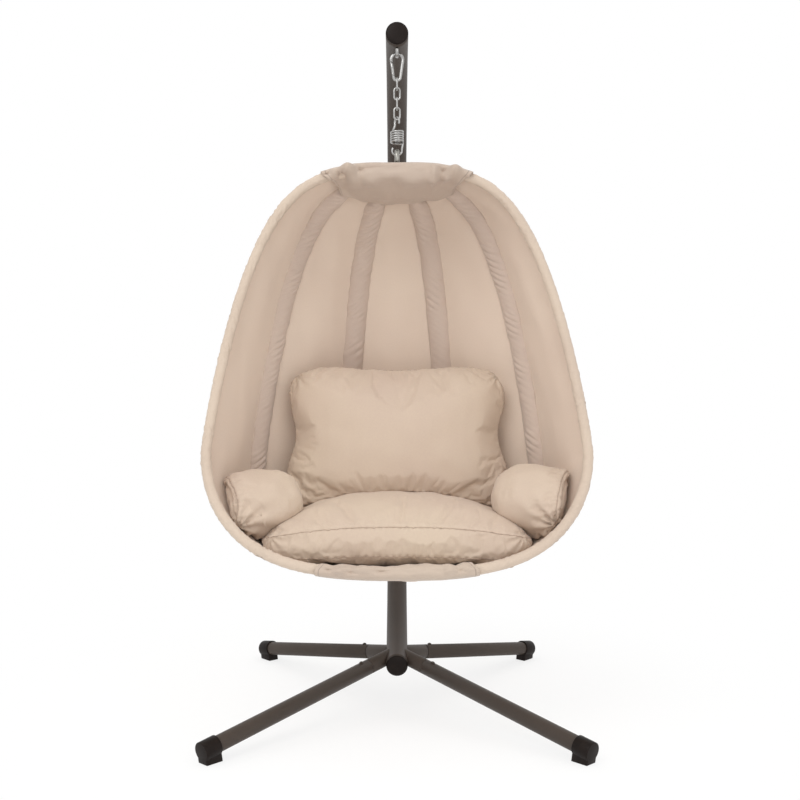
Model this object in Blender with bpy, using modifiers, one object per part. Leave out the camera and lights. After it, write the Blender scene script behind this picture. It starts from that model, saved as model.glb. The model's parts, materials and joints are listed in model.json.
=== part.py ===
"""Hanging chair: a fabric pod on six bent poles, hung by a snap hook, chain and spring
from a crescent tube stand on four legs. Metres, +Z up, the open front towards -Y.
"""
import math

import bmesh
import bpy
import numpy as np
from mathutils import Matrix, Vector

for old in list(bpy.data.objects):
    bpy.data.objects.remove(old, do_unlink=True)

# Clearance between pieces that touch
GAP = 0.0003

# Crescent post: a steel tube bent to an arc, in two lengths, the upper plugged into the lower
STAND_HEIGHT = 1.676
POST_OD = 0.054
POST_WALL = 0.002
CRESCENT_RADIUS = 0.772
CRESCENT_AHEAD = 0.0485        # arc centre in front of the hanging axis
ARM_OVERHANG = 0.032           # arm end in front of the hanging axis
FOOT_END_BEHIND = 0.066        # lower tube end behind the hanging axis
POST_JOINT = math.radians(112)  # angle from the crown where the two lengths meet
POST_PLUG = 0.085
POST_NECK = 0.004
POST_SIDES = 12
CAP_CROWN = 0.0035
CAP_RIM = 0.003
CAP_PLUG = 0.016

# Legs: four straight tubes, pushed over the drawn-in ends of stubs welded to the lower post
LEG_OD = 0.037
LEG_WALL = 0.0016
LEG_HUB_BEHIND = 0.138         # where the leg axes meet, behind the hanging axis
LEG_SIDES = 12
STUB_REACH = 0.105
LEG_PLUG = 0.045
LEG_NECK = 0.0025
FRONT_FOOT = (0.413, -0.298)
REAR_FOOT = (0.388, 0.565)
LEG_END_HEIGHT = 0.029
FOOT_OD = 0.044
FOOT_GRIP = 0.032
FOOT_END = 0.010
PAD_WIDTH = 0.031
PAD_LENGTH = 0.036
BOLT_OD = 0.006
BOLT_HEAD_OD = 0.011
BOLT_HEAD = 0.0035
BOLT_THREAD = 0.003            # past the inner wall
LEG_BOLT_AT = 0.022            # from the stub's end

# Hanger: welded eye, snap hook with a sprung gate, four chain links, spring
EYE_ROD = 0.007
EYE_INSIDE = 0.020
EYE_DROP = 0.0198
HOOK_WIRE = 0.0065
HOOK_LENGTH = 0.070
HOOK_TOP_WIDTH = 0.035
HOOK_BOTTOM_WIDTH = 0.023
GATE_OD = 0.0062
GATE_PIN_OD = 0.002
GATE_PIN_UP = 0.0062           # up the hook's open side from the end of its small bow
TONGUE_THICKNESS = 0.0024
TONGUE_WIDTH = 0.0054
LINK_WIRE = 0.0042
LINK_LENGTH = 0.0325
LINK_WIDTH = 0.018
LINK_COUNT = 4
SPRING_WIRE = 0.0049
SPRING_OD = 0.033
SPRING_PITCH = 0.0055
SPRING_WHOLE_TURNS = 5
SPRING_TOP_LOOP = 0.026
SPRING_BOTTOM_LOOP = 0.028
SPRING_TOP_NECK = 0.0347       # top loop's crown above the first coil
SPRING_BOTTOM_NECK = 0.0318    # bottom loop's sole below the last coil
SPRING_LOOP_TURN = math.radians(60)

# Pod: an eye bolt and two hubs carry six poles, evenly spaced over the half turn
TILT = math.radians(15.5)
POLE_COUNT = 6
POLE_OD = 0.016
POLE_WALL = 0.0012
POLE_STATIONS = 16
POD_LENGTH = 0.955             # hub to hub
POD_RADIUS = 0.4275            # axis to pole centre at the widest place
POD_WIDEST = 0.685             # widest place below the top hub
UPPER_POWERS = (1.2, 4.0)
LOWER_POWERS = (2.0, 3.2)
CHAIR_EYE_ROD = 0.012
CHAIR_EYE_INSIDE = 0.022
EYE_STEM = 0.024               # eye centre to the hub's top face
EYE_COLLAR_OD = 0.026
EYE_BOLT_OD = 0.012
WASHER_OD = 0.026
WASHER = 0.002
NUT_ACROSS = 0.019
NUT = 0.008
BOLT_TAIL = 0.002
HUB_RADIUS = 0.048
HUB_THICKNESS = 0.020
HUB_FRONT = 0.014
SOCKET_BOTTOM = 0.030

# Cover: five cloth panels, rolled rim sleeves, inside strips and two wrapped flaps
CLOTH = 0.0015
PANEL_SAG = 0.008
PANEL_START = 0.054
SLEEVE_OD = 0.022
SLEEVE_START = 0.051
STRIP_WIDTH = 0.038
STRIP_CLOTH = 0.0012
STRIP_START = 0.095
STRIP_SLACK = 0.0006
FLAP_HALF_WIDTH = 0.178
FLAP_OUTSIDE = 0.060
FLAP_INSIDE = 0.140
TOP_FLAP_ROUND = (0.0155, 0.0262)  # over the hub outside, and over the bolt's nut inside
BOTTOM_FLAP_ROUND = (0.0150, 0.0150)
FLAP_ROUND_RIM = 0.0130
FLAP_AHEAD = 0.027
FLAP_FOLD = 0.004
FLAP_FOLDS = 5
EYE_SLIT = (0.020, 0.062)

# Cushions, placed behind and above the pod's lower hub
CUSHION_CLEARANCE = 0.0006
BACK_CLEARANCE = 0.0024         # above the seat, whose crown it bridges
ARM_CLEARANCE = 0.0012
SEAT_WIDTH = 0.610
SEAT_FRONT = 0.036
SEAT_DEPTH = 0.350
SEAT_SEAM_UP = 0.095
SEAT_BORDER = 0.066
SEAT_CROWN = 0.056
SEAT_SIDE_DROP = 0.030
SEAT_BULGE = 0.080
SEAT_BORDER_SHARE = 1.2
SEAT_POWERS = (5.0, 2.8)       # how square its front and its rear corners are
BACK_WIDTH = 0.560
BACK_HEIGHT = 0.380
BACK_THICKNESS = 0.170
BACK_BEHIND = 0.342
BACK_UP = 0.283
BACK_LEAN = math.radians(8)
BACK_DRAWN_IN = 0.09
ARM_RADIUS = 0.080
ARM_END_RADIUS = 0.064
ARM_SPINE = ((0.735, 0.083, 0.126), (0.745, 0.150, 0.132), (0.660, 0.222, 0.146))

parts = bpy.data.collections.new("hanging_chair")
cutters = bpy.data.collections.new("cutters")
for collection in (parts, cutters):
    bpy.context.scene.collection.children.link(collection)

places = {}


def finish(name, colour, roughness, metallic):
    """A plain surface finish."""
    material = bpy.data.materials.new(name)
    material.use_nodes = True
    shader = material.node_tree.nodes["Principled BSDF"]
    shader.inputs["Base Color"].default_value = (*colour, 1)
    shader.inputs["Roughness"].default_value = roughness
    shader.inputs["Metallic"].default_value = metallic
    return material


POWDER_COAT = finish("powder_coat", (0.115, 0.098, 0.095), 0.45, 0.3)
BLACK_PLASTIC = finish("black_plastic", (0.022, 0.016, 0.014), 0.55, 0.0)
ZINC = finish("zinc", (0.62, 0.61, 0.58), 0.28, 1.0)
STEEL = finish("steel", (0.42, 0.41, 0.39), 0.40, 1.0)
CANVAS = finish("canvas", (0.62, 0.50, 0.39), 0.90, 0.0)
STRIP_CANVAS = finish("strip_canvas", (0.52, 0.42, 0.35), 0.90, 0.0)
CUSHION_CANVAS = finish("cushion_canvas", (0.68, 0.55, 0.42), 0.90, 0.0)


def pivot(name, place, parent=None):
    """An empty on a joint's axis, which carries the pieces that move with it."""
    empty = bpy.data.objects.new(name, None)
    empty.empty_display_size = 0.03
    parts.objects.link(empty)
    places[name] = Vector(place)
    empty.parent = parent
    empty.location = places[name] - (places[parent.name] if parent else Vector())
    return empty


def make(name, data, material, body):
    """A named piece of the chair under its body's empty."""
    piece = bpy.data.objects.new(name, data)
    parts.objects.link(piece)
    piece.parent = body
    piece.location = -places[body.name]
    data.materials.append(material)
    return piece


def make_cutter(name, data, body):
    """A guide solid that cuts, or is joined to, a piece of the same body."""
    piece = bpy.data.objects.new(name, data)
    cutters.objects.link(piece)
    piece.parent = body
    piece.location = -places[body.name]
    piece.hide_render = True
    piece.display_type = "WIRE"
    return piece


def combine(piece, guide, operation):
    """Cuts the piece by a guide solid, or joins the two."""
    modifier = piece.modifiers.new(guide.name, "BOOLEAN")
    modifier.operation = operation
    modifier.solver = "EXACT"
    modifier.object = guide


def thicken(piece, thickness, offset):
    """Gives an open surface its wall: offset 1 outwards, -1 inwards."""
    modifier = piece.modifiers.new("wall", "SOLIDIFY")
    modifier.thickness = thickness
    modifier.offset = offset
    modifier.use_even_offset = True


def mesh_of(name, bm, smooth=True):
    """A mesh datablock from a finished bmesh."""
    mesh = bpy.data.meshes.new(name)
    bm.to_mesh(mesh)
    bm.free()
    if smooth:
        mesh.shade_smooth()
        mesh.set_sharp_from_angle(angle=math.radians(40))
    return mesh


def cylinder(name, start, end, radius, sides, capped=True, end_radius=None):
    """A round bar, cone or open tube between two points."""
    start, end = Vector(start), Vector(end)
    axis = end - start
    turn = Vector((0, 0, 1)).rotation_difference(axis).to_matrix().to_4x4()
    bm = bmesh.new()
    bmesh.ops.create_cone(
        bm, cap_ends=capped, segments=sides, radius1=radius,
        radius2=radius if end_radius is None else end_radius, depth=axis.length,
        matrix=Matrix.Translation((start + end) / 2) @ turn)
    return mesh_of(name, bm)


def block(name, centre, size, turn):
    """A box with its own turn."""
    bm = bmesh.new()
    scale = Matrix.Diagonal((*size, 1))
    bmesh.ops.create_cube(bm, size=1, matrix=Matrix.Translation(centre) @ turn @ scale)
    return mesh_of(name, bm, smooth=False)


def wire_curve(name, points, radius, resolution, cyclic=False, caps=True):
    """A round wire along a chain of points."""
    curve = bpy.data.curves.new(name, "CURVE")
    curve.dimensions = "3D"
    curve.bevel_depth = radius
    curve.bevel_resolution = resolution
    curve.use_fill_caps = caps
    spline = curve.splines.new("POLY")
    spline.points.add(len(points) - 1)
    for point, place in zip(spline.points, points):
        point.co = (*place, 1)
    spline.use_cyclic_u = cyclic
    return curve


def wire_mesh(name, points, radius, resolution, cyclic=False, caps=True):
    """The same wire as a mesh with its caps welded, so that it can be cut or joined."""
    guide = bpy.data.objects.new(name, wire_curve(name, points, radius, resolution, cyclic, caps))
    bpy.context.scene.collection.objects.link(guide)
    depsgraph = bpy.context.evaluated_depsgraph_get()
    mesh = bpy.data.meshes.new_from_object(guide.evaluated_get(depsgraph))
    bpy.data.objects.remove(guide)
    bm = bmesh.new()
    bm.from_mesh(mesh)
    bmesh.ops.remove_doubles(bm, verts=bm.verts, dist=1e-6)
    bmesh.ops.recalc_face_normals(bm, faces=bm.faces)
    bpy.data.meshes.remove(mesh)
    return mesh_of(name, bm)


def sheet(name, rows):
    """An open cloth surface lofted through rows of points."""
    bm = bmesh.new()
    lines = [[bm.verts.new(point) for point in row] for row in rows]
    for first, second in zip(lines, lines[1:]):
        for i in range(len(first) - 1):
            bm.faces.new((first[i], first[i + 1], second[i + 1], second[i]))
    return mesh_of(name, bm)


def stuffed(name, head, rings, tail):
    """A closed soft form lofted from one pole point through rings to the other."""
    bm = bmesh.new()
    loops = [[bm.verts.new(point) for point in ring] for ring in rings]
    first_pole, last_pole = bm.verts.new(head), bm.verts.new(tail)
    count = len(loops[0])
    for i in range(count):
        j = (i + 1) % count
        bm.faces.new((first_pole, loops[0][i], loops[0][j]))
        for upper, lower in zip(loops, loops[1:]):
            bm.faces.new((upper[i], lower[i], lower[j], upper[j]))
        bm.faces.new((loops[-1][i], last_pole, loops[-1][j]))
    bmesh.ops.recalc_face_normals(bm, faces=bm.faces)
    return mesh_of(name, bm)


def turned(name, profile, place, axis, sides, material, body):
    """A turned piece from a profile of (radius, height), given down its outer side."""
    bm = bmesh.new()
    corners = [bm.verts.new((radius, 0, height)) for radius, height in profile]
    for first, second in zip(corners, corners[1:]):
        bm.edges.new((first, second))
    piece = make(name, mesh_of(name, bm, smooth=False), material, body)
    piece.location = Vector(place) - places[body.name]
    piece.rotation_euler = Vector((0, 0, 1)).rotation_difference(axis).to_euler()
    screw = piece.modifiers.new("turned", "SCREW")
    screw.steps = sides
    screw.render_steps = sides
    screw.use_merge_vertices = True
    screw.merge_threshold = 0.00002
    screw.use_smooth_shade = False
    return piece


def arc_points(centre, across, up, radius, start, end, count):
    """Points along an arc in the plane of two unit vectors, angles from the first."""
    angles = [start + (end - start) * i / (count - 1) for i in range(count)]
    return [centre + (across * math.cos(a) + up * math.sin(a)) * radius for a in angles]


X, Z = Vector((1, 0, 0)), Vector((0, 0, 1))
stand = pivot("stand", (0, 0, 0))

# Crescent post

crescent_centre = Vector((0, -CRESCENT_AHEAD, STAND_HEIGHT - POST_OD / 2 - CRESCENT_RADIUS))


def on_crescent(angle):
    """A point of the post's centre line, by its angle from the crown towards the back."""
    return crescent_centre + Vector((0, math.sin(angle), math.cos(angle))) * CRESCENT_RADIUS


def along_crescent(angle):
    """The post's direction there, from the arm end towards the foot end."""
    return Vector((0, math.cos(angle), -math.sin(angle)))


def crescent_angle(behind, low):
    """The angle at a distance behind the hanging axis, on the upper or the lower half."""
    angle = math.asin((behind + CRESCENT_AHEAD) / CRESCENT_RADIUS)
    return math.pi - angle if low else angle


def bent_tube(name, sections, capped=False):
    """A tube along the crescent through sections of (angle, radius)."""
    bm = bmesh.new()
    loops = []
    for angle, radius in sections:
        place = (Matrix.Translation(crescent_centre) @ Matrix.Rotation(-angle, 4, "X")
                 @ Matrix.Translation(Z * CRESCENT_RADIUS) @ Matrix.Rotation(math.radians(90), 4, "X"))
        loops.append(bmesh.ops.create_circle(bm, segments=POST_SIDES, radius=radius, matrix=place)["verts"])
    for first, second in zip(loops, loops[1:]):
        for i in range(POST_SIDES):
            j = (i + 1) % POST_SIDES
            bm.faces.new((first[i], first[j], second[j], second[i]))
    if capped:
        bm.faces.new(loops[0])
        bm.faces.new(loops[-1])
    bmesh.ops.recalc_face_normals(bm, faces=bm.faces)
    return mesh_of(name, bm)


def even_sections(start, end, radius, steps):
    """Sections of one radius at even angles."""
    return [(start + (end - start) * i / steps, radius) for i in range(steps + 1)]


ARM_END = crescent_angle(-ARM_OVERHANG, low=False)
FOOT_END_ANGLE = crescent_angle(FOOT_END_BEHIND, low=True)
LEG_HUB_ANGLE = crescent_angle(LEG_HUB_BEHIND, low=True)
plug_radius = POST_OD / 2 - POST_WALL - GAP
plug_end = POST_JOINT + POST_PLUG / CRESCENT_RADIUS
plug_sections = even_sections(POST_JOINT, plug_end, plug_radius, 2)
end_step = CAP_PLUG * 1.2 / CRESCENT_RADIUS
upper_sections = [(ARM_END, POST_OD / 2)]
upper_sections += even_sections(ARM_END + end_step, POST_JOINT - POST_NECK / CRESCENT_RADIUS, POST_OD / 2, 18)
lower_sections = even_sections(POST_JOINT + GAP / CRESCENT_RADIUS, plug_end, POST_OD / 2, 2)
lower_sections += even_sections(plug_end, FOOT_END_ANGLE - end_step, POST_OD / 2, 9)[1:]
lower_sections.append((FOOT_END_ANGLE, POST_OD / 2))
upper_post = make("upper_post", bent_tube("upper_post", upper_sections + plug_sections), POWDER_COAT, stand)
thicken(upper_post, POST_WALL, -1)
lower_post = make("lower_post", bent_tube("lower_post", lower_sections), POWDER_COAT, stand)
thicken(lower_post, POST_WALL, -1)


def bolt(name, seat, outward, grip, pieces):
    """A round-head bolt on its seat, and its hole through the walls that it clamps."""
    profile = [(0, GAP + BOLT_HEAD), (BOLT_HEAD_OD * 0.3, GAP + BOLT_HEAD * 0.85),
               (BOLT_HEAD_OD / 2, GAP + BOLT_HEAD * 0.3), (BOLT_HEAD_OD / 2, GAP), (BOLT_OD / 2, GAP),
               (BOLT_OD / 2, -grip), (0, -grip)]
    turned(name, profile, seat, outward, 10, POWDER_COAT, stand)
    drill = make_cutter(name + "_hole", cylinder(name + "_hole", seat - outward * (grip + POST_WALL),
                                                 seat + outward * BOLT_HEAD, BOLT_OD / 2 + GAP, 8), stand)
    for piece in pieces:
        combine(piece, drill, "DIFFERENCE")


bolt_angle = POST_JOINT + POST_PLUG / 2 / CRESCENT_RADIUS
outward = (on_crescent(bolt_angle) - crescent_centre).normalized()
bolt("post_bolt", on_crescent(bolt_angle) + outward * POST_OD / 2, outward,
     POST_WALL * 2 + GAP * 2 + BOLT_THREAD, (upper_post, lower_post))


def end_cap(name, angle, outward):
    """A moulded plug that closes a tube end."""
    rim = POST_OD / 2
    plug = rim * math.cos(math.pi / POST_SIDES) - POST_WALL - GAP * 3
    profile = [(0, CAP_RIM + CAP_CROWN), (rim * 0.6, CAP_RIM + CAP_CROWN * 0.85),
               (rim * 0.9, CAP_RIM + CAP_CROWN * 0.4), (rim, CAP_RIM), (rim, GAP), (plug, GAP),
               (plug, -CAP_PLUG), (0, -CAP_PLUG)]
    turned(name, profile, on_crescent(angle), outward, POST_SIDES, BLACK_PLASTIC, stand)


end_cap("top_cap", ARM_END, -along_crescent(ARM_END))
end_cap("bottom_cap", FOOT_END_ANGLE, along_crescent(FOOT_END_ANGLE))

# Legs and feet

leg_hub = on_crescent(LEG_HUB_ANGLE)
post_clear = make_cutter("post_clear", bent_tube("post_clear", [
    (angle, POST_OD / 2 + GAP) for angle, _ in lower_sections], capped=True), stand)
leg_plug_radius = LEG_OD / 2 - LEG_WALL - GAP
foot_bore = (LEG_OD / 2 + GAP) / math.cos(math.pi / LEG_SIDES)
for corner, (x, y) in (("front_left", (-FRONT_FOOT[0], FRONT_FOOT[1])), ("front_right", FRONT_FOOT),
                       ("rear_left", (-REAR_FOOT[0], REAR_FOOT[1])), ("rear_right", REAR_FOOT)):
    leg_end = Vector((x, y, LEG_END_HEIGHT))
    run = (leg_end - leg_hub).normalized()
    stub_end = leg_hub + run * STUB_REACH
    stub_profile = [(leg_plug_radius, STUB_REACH + LEG_PLUG), (leg_plug_radius, STUB_REACH),
                    (LEG_OD / 2, STUB_REACH - LEG_NECK), (LEG_OD / 2, 0)]
    stub = turned("leg_stub_" + corner, stub_profile, leg_hub, run, LEG_SIDES, POWDER_COAT, stand)
    thicken(stub, LEG_WALL, -1)
    combine(stub, post_clear, "DIFFERENCE")
    leg = turned("leg_" + corner, [(LEG_OD / 2, (leg_end - leg_hub).length), (LEG_OD / 2, STUB_REACH + GAP)],
                 leg_hub, run, LEG_SIDES, POWDER_COAT, stand)
    thicken(leg, LEG_WALL, -1)
    outward = (Z - run * run.dot(Z)).normalized()
    bolt("leg_bolt_" + corner, stub_end + run * LEG_BOLT_AT + outward * LEG_OD / 2, outward,
         LEG_WALL * 2 + GAP * 2 + BOLT_THREAD, (leg, stub))
    foot = make("foot_" + corner, cylinder("foot_" + corner, leg_end - run * FOOT_GRIP,
                                           leg_end + run * FOOT_END, FOOT_OD / 2, 16),
                BLACK_PLASTIC, stand)
    pad_name = "pad_" + corner
    pad_centre = leg_end + run * (FOOT_END - GAP - PAD_LENGTH / 2)
    pad_centre.z = LEG_END_HEIGHT / 2
    pad = make_cutter(pad_name, block(pad_name, pad_centre, (PAD_LENGTH, PAD_WIDTH, LEG_END_HEIGHT),
                                      Matrix.Rotation(math.atan2(run.y, run.x), 4, "Z")), stand)
    combine(foot, pad, "UNION")
    socket = make_cutter("foot_socket_" + corner, cylinder("foot_socket_" + corner,
                                                           leg_end - run * FOOT_GRIP * 2,
                                                           leg_end + run * GAP, foot_bore, LEG_SIDES),
                         stand)
    combine(foot, socket, "DIFFERENCE")

# Welded eye under the arm


def under_arm(y):
    """The height of the arm's underside at a distance behind the hanging axis."""
    reach = CRESCENT_RADIUS - POST_OD / 2
    behind = [crescent_centre.y + reach * math.sin(angle) for angle, _ in upper_sections[:6]]
    height = [crescent_centre.z + reach * math.cos(angle) for angle, _ in upper_sections[:6]]
    return float(np.interp(y, behind, height))


eye_half = (EYE_INSIDE + EYE_ROD) / 2
eye_sole = Vector((0, 0, under_arm(0) - EYE_DROP + EYE_ROD / 2))
eye_bend = eye_sole + Z * eye_half
Y = Vector((0, 1, 0))
eye_points = [Vector((0, eye_half, under_arm(eye_half) - GAP * 2))]
eye_points += arc_points(eye_bend, Y, -Z, eye_half, 0, math.pi, 11)
eye_points.append(Vector((0, -eye_half, under_arm(-eye_half) - GAP * 2)))
make("hanger_eye", wire_curve("hanger_eye", eye_points, EYE_ROD / 2, 2), ZINC, stand)

# Snap hook: pear-shaped wire, small end down, with the gate on its left side

hook_crown = eye_sole + Z * ((EYE_ROD + HOOK_WIRE) / 2 + GAP)
hook_sole = hook_crown - Z * (HOOK_LENGTH - HOOK_WIRE)
hook = pivot("hook_swing", eye_sole, stand)
top_bow = (HOOK_TOP_WIDTH - HOOK_WIRE) / 2
low_bow = (HOOK_BOTTOM_WIDTH - HOOK_WIRE) / 2
top_bow_centre = hook_crown - Z * top_bow
low_bow_centre = hook_sole + Z * low_bow
narrowing = math.asin((top_bow - low_bow) / (top_bow_centre - low_bow_centre).length)
left_out = Vector((-math.cos(narrowing), 0, -math.sin(narrowing)))
gate_low = low_bow_centre + left_out * low_bow
gate_top = top_bow_centre + left_out * top_bow
gate_run = (gate_top - gate_low).normalized()
gate_pin_place = gate_low + gate_run * GATE_PIN_UP
hook_end = gate_pin_place - gate_run * (GATE_OD / 2 + GAP)
nose = gate_top - gate_run * GATE_OD / 2
hook_points = [hook_end]
hook_points += arc_points(low_bow_centre, X, Z, low_bow, math.pi + narrowing, 2 * math.pi - narrowing, 9)
hook_points += arc_points(top_bow_centre, X, Z, top_bow, -narrowing, math.pi + narrowing, 13)
hook_points.append(nose)
snap_hook = make("snap_hook", wire_mesh("snap_hook", hook_points, HOOK_WIRE / 2, 2), ZINC, hook)
gate_turn = Z.rotation_difference(gate_run).to_matrix().to_4x4()
tongue_low = -HOOK_WIRE / 2
tongue_high = GATE_PIN_OD / 2 + 0.0016
tongue = make_cutter("hook_tongue", block(
    "hook_tongue", gate_pin_place + gate_run * (tongue_low - GATE_OD / 2 + tongue_high) / 2,
    (TONGUE_WIDTH, TONGUE_THICKNESS, tongue_high - tongue_low + GATE_OD / 2), gate_turn), hook)
pin_hole = make_cutter("gate_pin_hole", cylinder("gate_pin_hole", gate_pin_place - Y * HOOK_WIRE,
                                                 gate_pin_place + Y * HOOK_WIRE,
                                                 GATE_PIN_OD / 2 + GAP, 10), hook)
combine(snap_hook, tongue, "UNION")
combine(snap_hook, pin_hole, "DIFFERENCE")
make("gate_pin", cylinder("gate_pin", gate_pin_place - Y * GATE_OD / 2, gate_pin_place + Y * GATE_OD / 2,
                          GATE_PIN_OD / 2, 10), ZINC, hook)

gate = pivot("gate_turn", gate_pin_place, hook)
gate_start = gate_pin_place - gate_run * (GATE_OD / 4)
gate_end = nose - gate_run * GAP * 2
snap_gate = make("snap_gate", cylinder("snap_gate", gate_start, gate_end, GATE_OD / 2, 10), ZINC, gate)
fork = make_cutter("gate_fork", block(
    "gate_fork", gate_pin_place, (HOOK_WIRE * 2, TONGUE_THICKNESS + GAP * 2,
                                  2 * math.hypot(TONGUE_WIDTH / 2, tongue_high) + GAP * 2), gate_turn), gate)
gate_hole = make_cutter("gate_hole", pin_hole.data, gate)
combine(snap_gate, fork, "DIFFERENCE")
combine(snap_gate, gate_hole, "DIFFERENCE")

# Chain

link_bend = (LINK_WIDTH - LINK_WIRE) / 2
link_bodies = []
carrier, carrier_sole, carrier_wire = hook, hook_sole, HOOK_WIRE
for number in range(1, LINK_COUNT + 1):
    across = Y if number % 2 else X
    crown = carrier_sole + Z * ((carrier_wire + LINK_WIRE) / 2 + GAP)
    sole = crown - Z * (LINK_LENGTH - LINK_WIRE)
    body = pivot(f"link_{number}_swing", carrier_sole, carrier)
    link_points = arc_points(crown - Z * link_bend, across, Z, link_bend, 0, math.pi, 9)
    link_points += arc_points(sole + Z * link_bend, across, Z, link_bend, math.pi, 2 * math.pi, 9)
    make(f"chain_link_{number}", wire_curve(f"chain_link_{number}", link_points, LINK_WIRE / 2, 1,
                                            cyclic=True), ZINC, body)
    carrier, carrier_sole, carrier_wire = body, sole, LINK_WIRE

# Spring: close coils with a small turned loop above and a larger hook below

spring_body = pivot("spring_swing", carrier_sole, carrier)
coil_radius = (SPRING_OD - SPRING_WIRE) / 2
spring_crown = carrier_sole + Z * ((carrier_wire + SPRING_WIRE) / 2 + GAP)
coil_top = spring_crown - Z * (SPRING_TOP_NECK - SPRING_WIRE / 2)
coil_turns = SPRING_WHOLE_TURNS + (math.pi - SPRING_LOOP_TURN) / (2 * math.pi)
coil_low = coil_top - Z * coil_turns * SPRING_PITCH
spring_sole = coil_low - Z * (SPRING_BOTTOM_NECK - SPRING_WIRE / 2)


def smooth_step(start, start_way, end, end_way, count):
    """Points of a smooth bend between two places, leaving and arriving along given ways."""
    points = []
    for i in range(1, count):
        t = i / count
        points.append(start * (2 * t ** 3 - 3 * t ** 2 + 1) + start_way * (t ** 3 - 2 * t ** 2 + t)
                      + end * (3 * t ** 2 - 2 * t ** 3) + end_way * (t ** 3 - t ** 2))
    return points


def coil_point(turns):
    """A point of the coil, counted in turns up from its lower end on the right."""
    angle = turns * 2 * math.pi
    return coil_low + Vector((math.cos(angle) * coil_radius, math.sin(angle) * coil_radius,
                              turns * SPRING_PITCH))


COIL_POINTS = 9
low_loop = (SPRING_BOTTOM_LOOP - SPRING_WIRE) / 2
high_loop = (SPRING_TOP_LOOP - SPRING_WIRE) / 2
low_loop_centre = spring_sole + Z * low_loop
high_loop_centre = spring_crown - Z * high_loop
coil_steps = round(coil_turns * COIL_POINTS)
coil = [coil_point(coil_turns * i / coil_steps) for i in range(coil_steps + 1)]
low_hook = arc_points(low_loop_centre, X, -Z, low_loop, 0, math.radians(205), 12)
low_tip = (low_hook[-1] - low_hook[-2]).normalized()
low_hook.append(low_hook[-1] + low_tip * SPRING_WIRE)
loop_across = Vector((-math.cos(SPRING_LOOP_TURN), math.sin(SPRING_LOOP_TURN), 0))
high_hook = arc_points(high_loop_centre, loop_across, Z, high_loop, math.radians(-20), math.radians(205), 12)
high_tip = (high_hook[-1] - high_hook[-2]).normalized()
high_hook.append(high_hook[-1] + high_tip * SPRING_WIRE)
low_bend = smooth_step(low_hook[0], Z * 0.012, coil[0], (coil[1] - coil[0]).normalized() * 0.020, 5)
high_bend = smooth_step(coil[-1], (coil[-1] - coil[-2]).normalized() * 0.020, high_hook[0],
                        (high_hook[1] - high_hook[0]).normalized() * 0.016, 5)
spring_points = low_hook[::-1] + low_bend + coil + high_bend + high_hook
make("spring", wire_curve("spring", spring_points, SPRING_WIRE / 2, 1), ZINC, spring_body)


def least_gap(points, wire):
    """The least gap of a wound wire to itself, measured on points along it."""
    fine = np.concatenate([np.linspace(a, b, 6, endpoint=False)
                           for a, b in zip(np.array(points[:-1]), np.array(points[1:]))])
    run = np.concatenate([[0], np.cumsum(np.linalg.norm(np.diff(fine, axis=0), axis=1))])
    apart = np.linalg.norm(fine[:, None] - fine[None], axis=2)
    far = np.abs(run[:, None] - run[None]) > 4 * wire
    return apart[far].min() - wire


print(f"spring: least gap to itself {least_gap(spring_points, SPRING_WIRE) * 1000:.2f} mm")

# Pod frame: its axis leans forward at the foot, so that the pod hangs in balance

down = Vector((0, -math.sin(TILT), -math.cos(TILT)))
back = Vector((0, math.cos(TILT), -math.sin(TILT)))
chair_eye_bend = (CHAIR_EYE_INSIDE + CHAIR_EYE_ROD) / 2
chair_eye_centre = spring_sole + Z * ((SPRING_WIRE + CHAIR_EYE_ROD) / 2 + GAP - chair_eye_bend)
hub_top_face = chair_eye_centre + down * EYE_STEM
top_hub_centre = hub_top_face + down * HUB_THICKNESS / 2
chair = pivot("chair_bounce", spring_sole, spring_body)
PITCH = math.pi / (POLE_COUNT - 1)
HALF_PITCH = PITCH / 2


def bent_pole():
    """Stations down a pole, closer where it bends: drop, distance from the axis, outward way."""
    turn = np.linspace(0, 1, 1500) ** 2 * math.pi / 2
    upper = np.stack([POD_WIDEST * (1 - np.cos(turn) ** (2 / UPPER_POWERS[0])),
                      POD_RADIUS * np.sin(turn) ** (2 / UPPER_POWERS[1])], axis=1)
    lower = np.stack([POD_WIDEST + (POD_LENGTH - POD_WIDEST) * np.cos(turn) ** (2 / LOWER_POWERS[0]),
                      POD_RADIUS * np.sin(turn) ** (2 / LOWER_POWERS[1])], axis=1)
    line = np.vstack([upper, lower[-2::-1]])[2:-2]
    steps = np.diff(line, axis=0)
    heading = np.unwrap(np.arctan2(steps[:, 0], steps[:, 1]))
    run = np.concatenate([[0], np.cumsum(np.linalg.norm(steps, axis=1))])
    bend = np.concatenate([[0], np.cumsum(np.abs(np.diff(heading))), [0]])
    bend[-1] = bend[-2]
    measure = run / run[-1] + bend / bend[-1]
    half = int(line[:, 1].argmax())
    clear_of_hub = (np.interp(PANEL_START, line[:half, 1], measure[:half]),
                    np.interp(PANEL_START, line[:half:-1, 1], measure[:half:-1]))
    even = np.linspace(*clear_of_hub, POLE_STATIONS)
    even = np.concatenate([[0], even, measure[-1:]])
    line = np.stack([np.interp(even, measure, line[:, 0]), np.interp(even, measure, line[:, 1])], axis=1)
    way = np.diff(line, axis=0)
    way /= np.linalg.norm(way, axis=1)[:, None]
    way = np.vstack([way[:1], way[1:] + way[:-1], way[-1:]])
    way /= np.linalg.norm(way, axis=1)[:, None]
    return np.stack([line[:, 0], line[:, 1], -way[:, 1], way[:, 0]], axis=1)


pole_line = bent_pole()
widest = int(pole_line[:, 1].argmax())
upper_line, lower_line = pole_line[:widest + 1], pole_line[:widest - 1:-1]


def station_at(radius, low):
    """The place on the upper or the lower half of a pole at a distance from the axis."""
    line = lower_line if low else upper_line
    return [float(np.interp(radius, line[:, 1], column)) for column in line.T]


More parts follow.
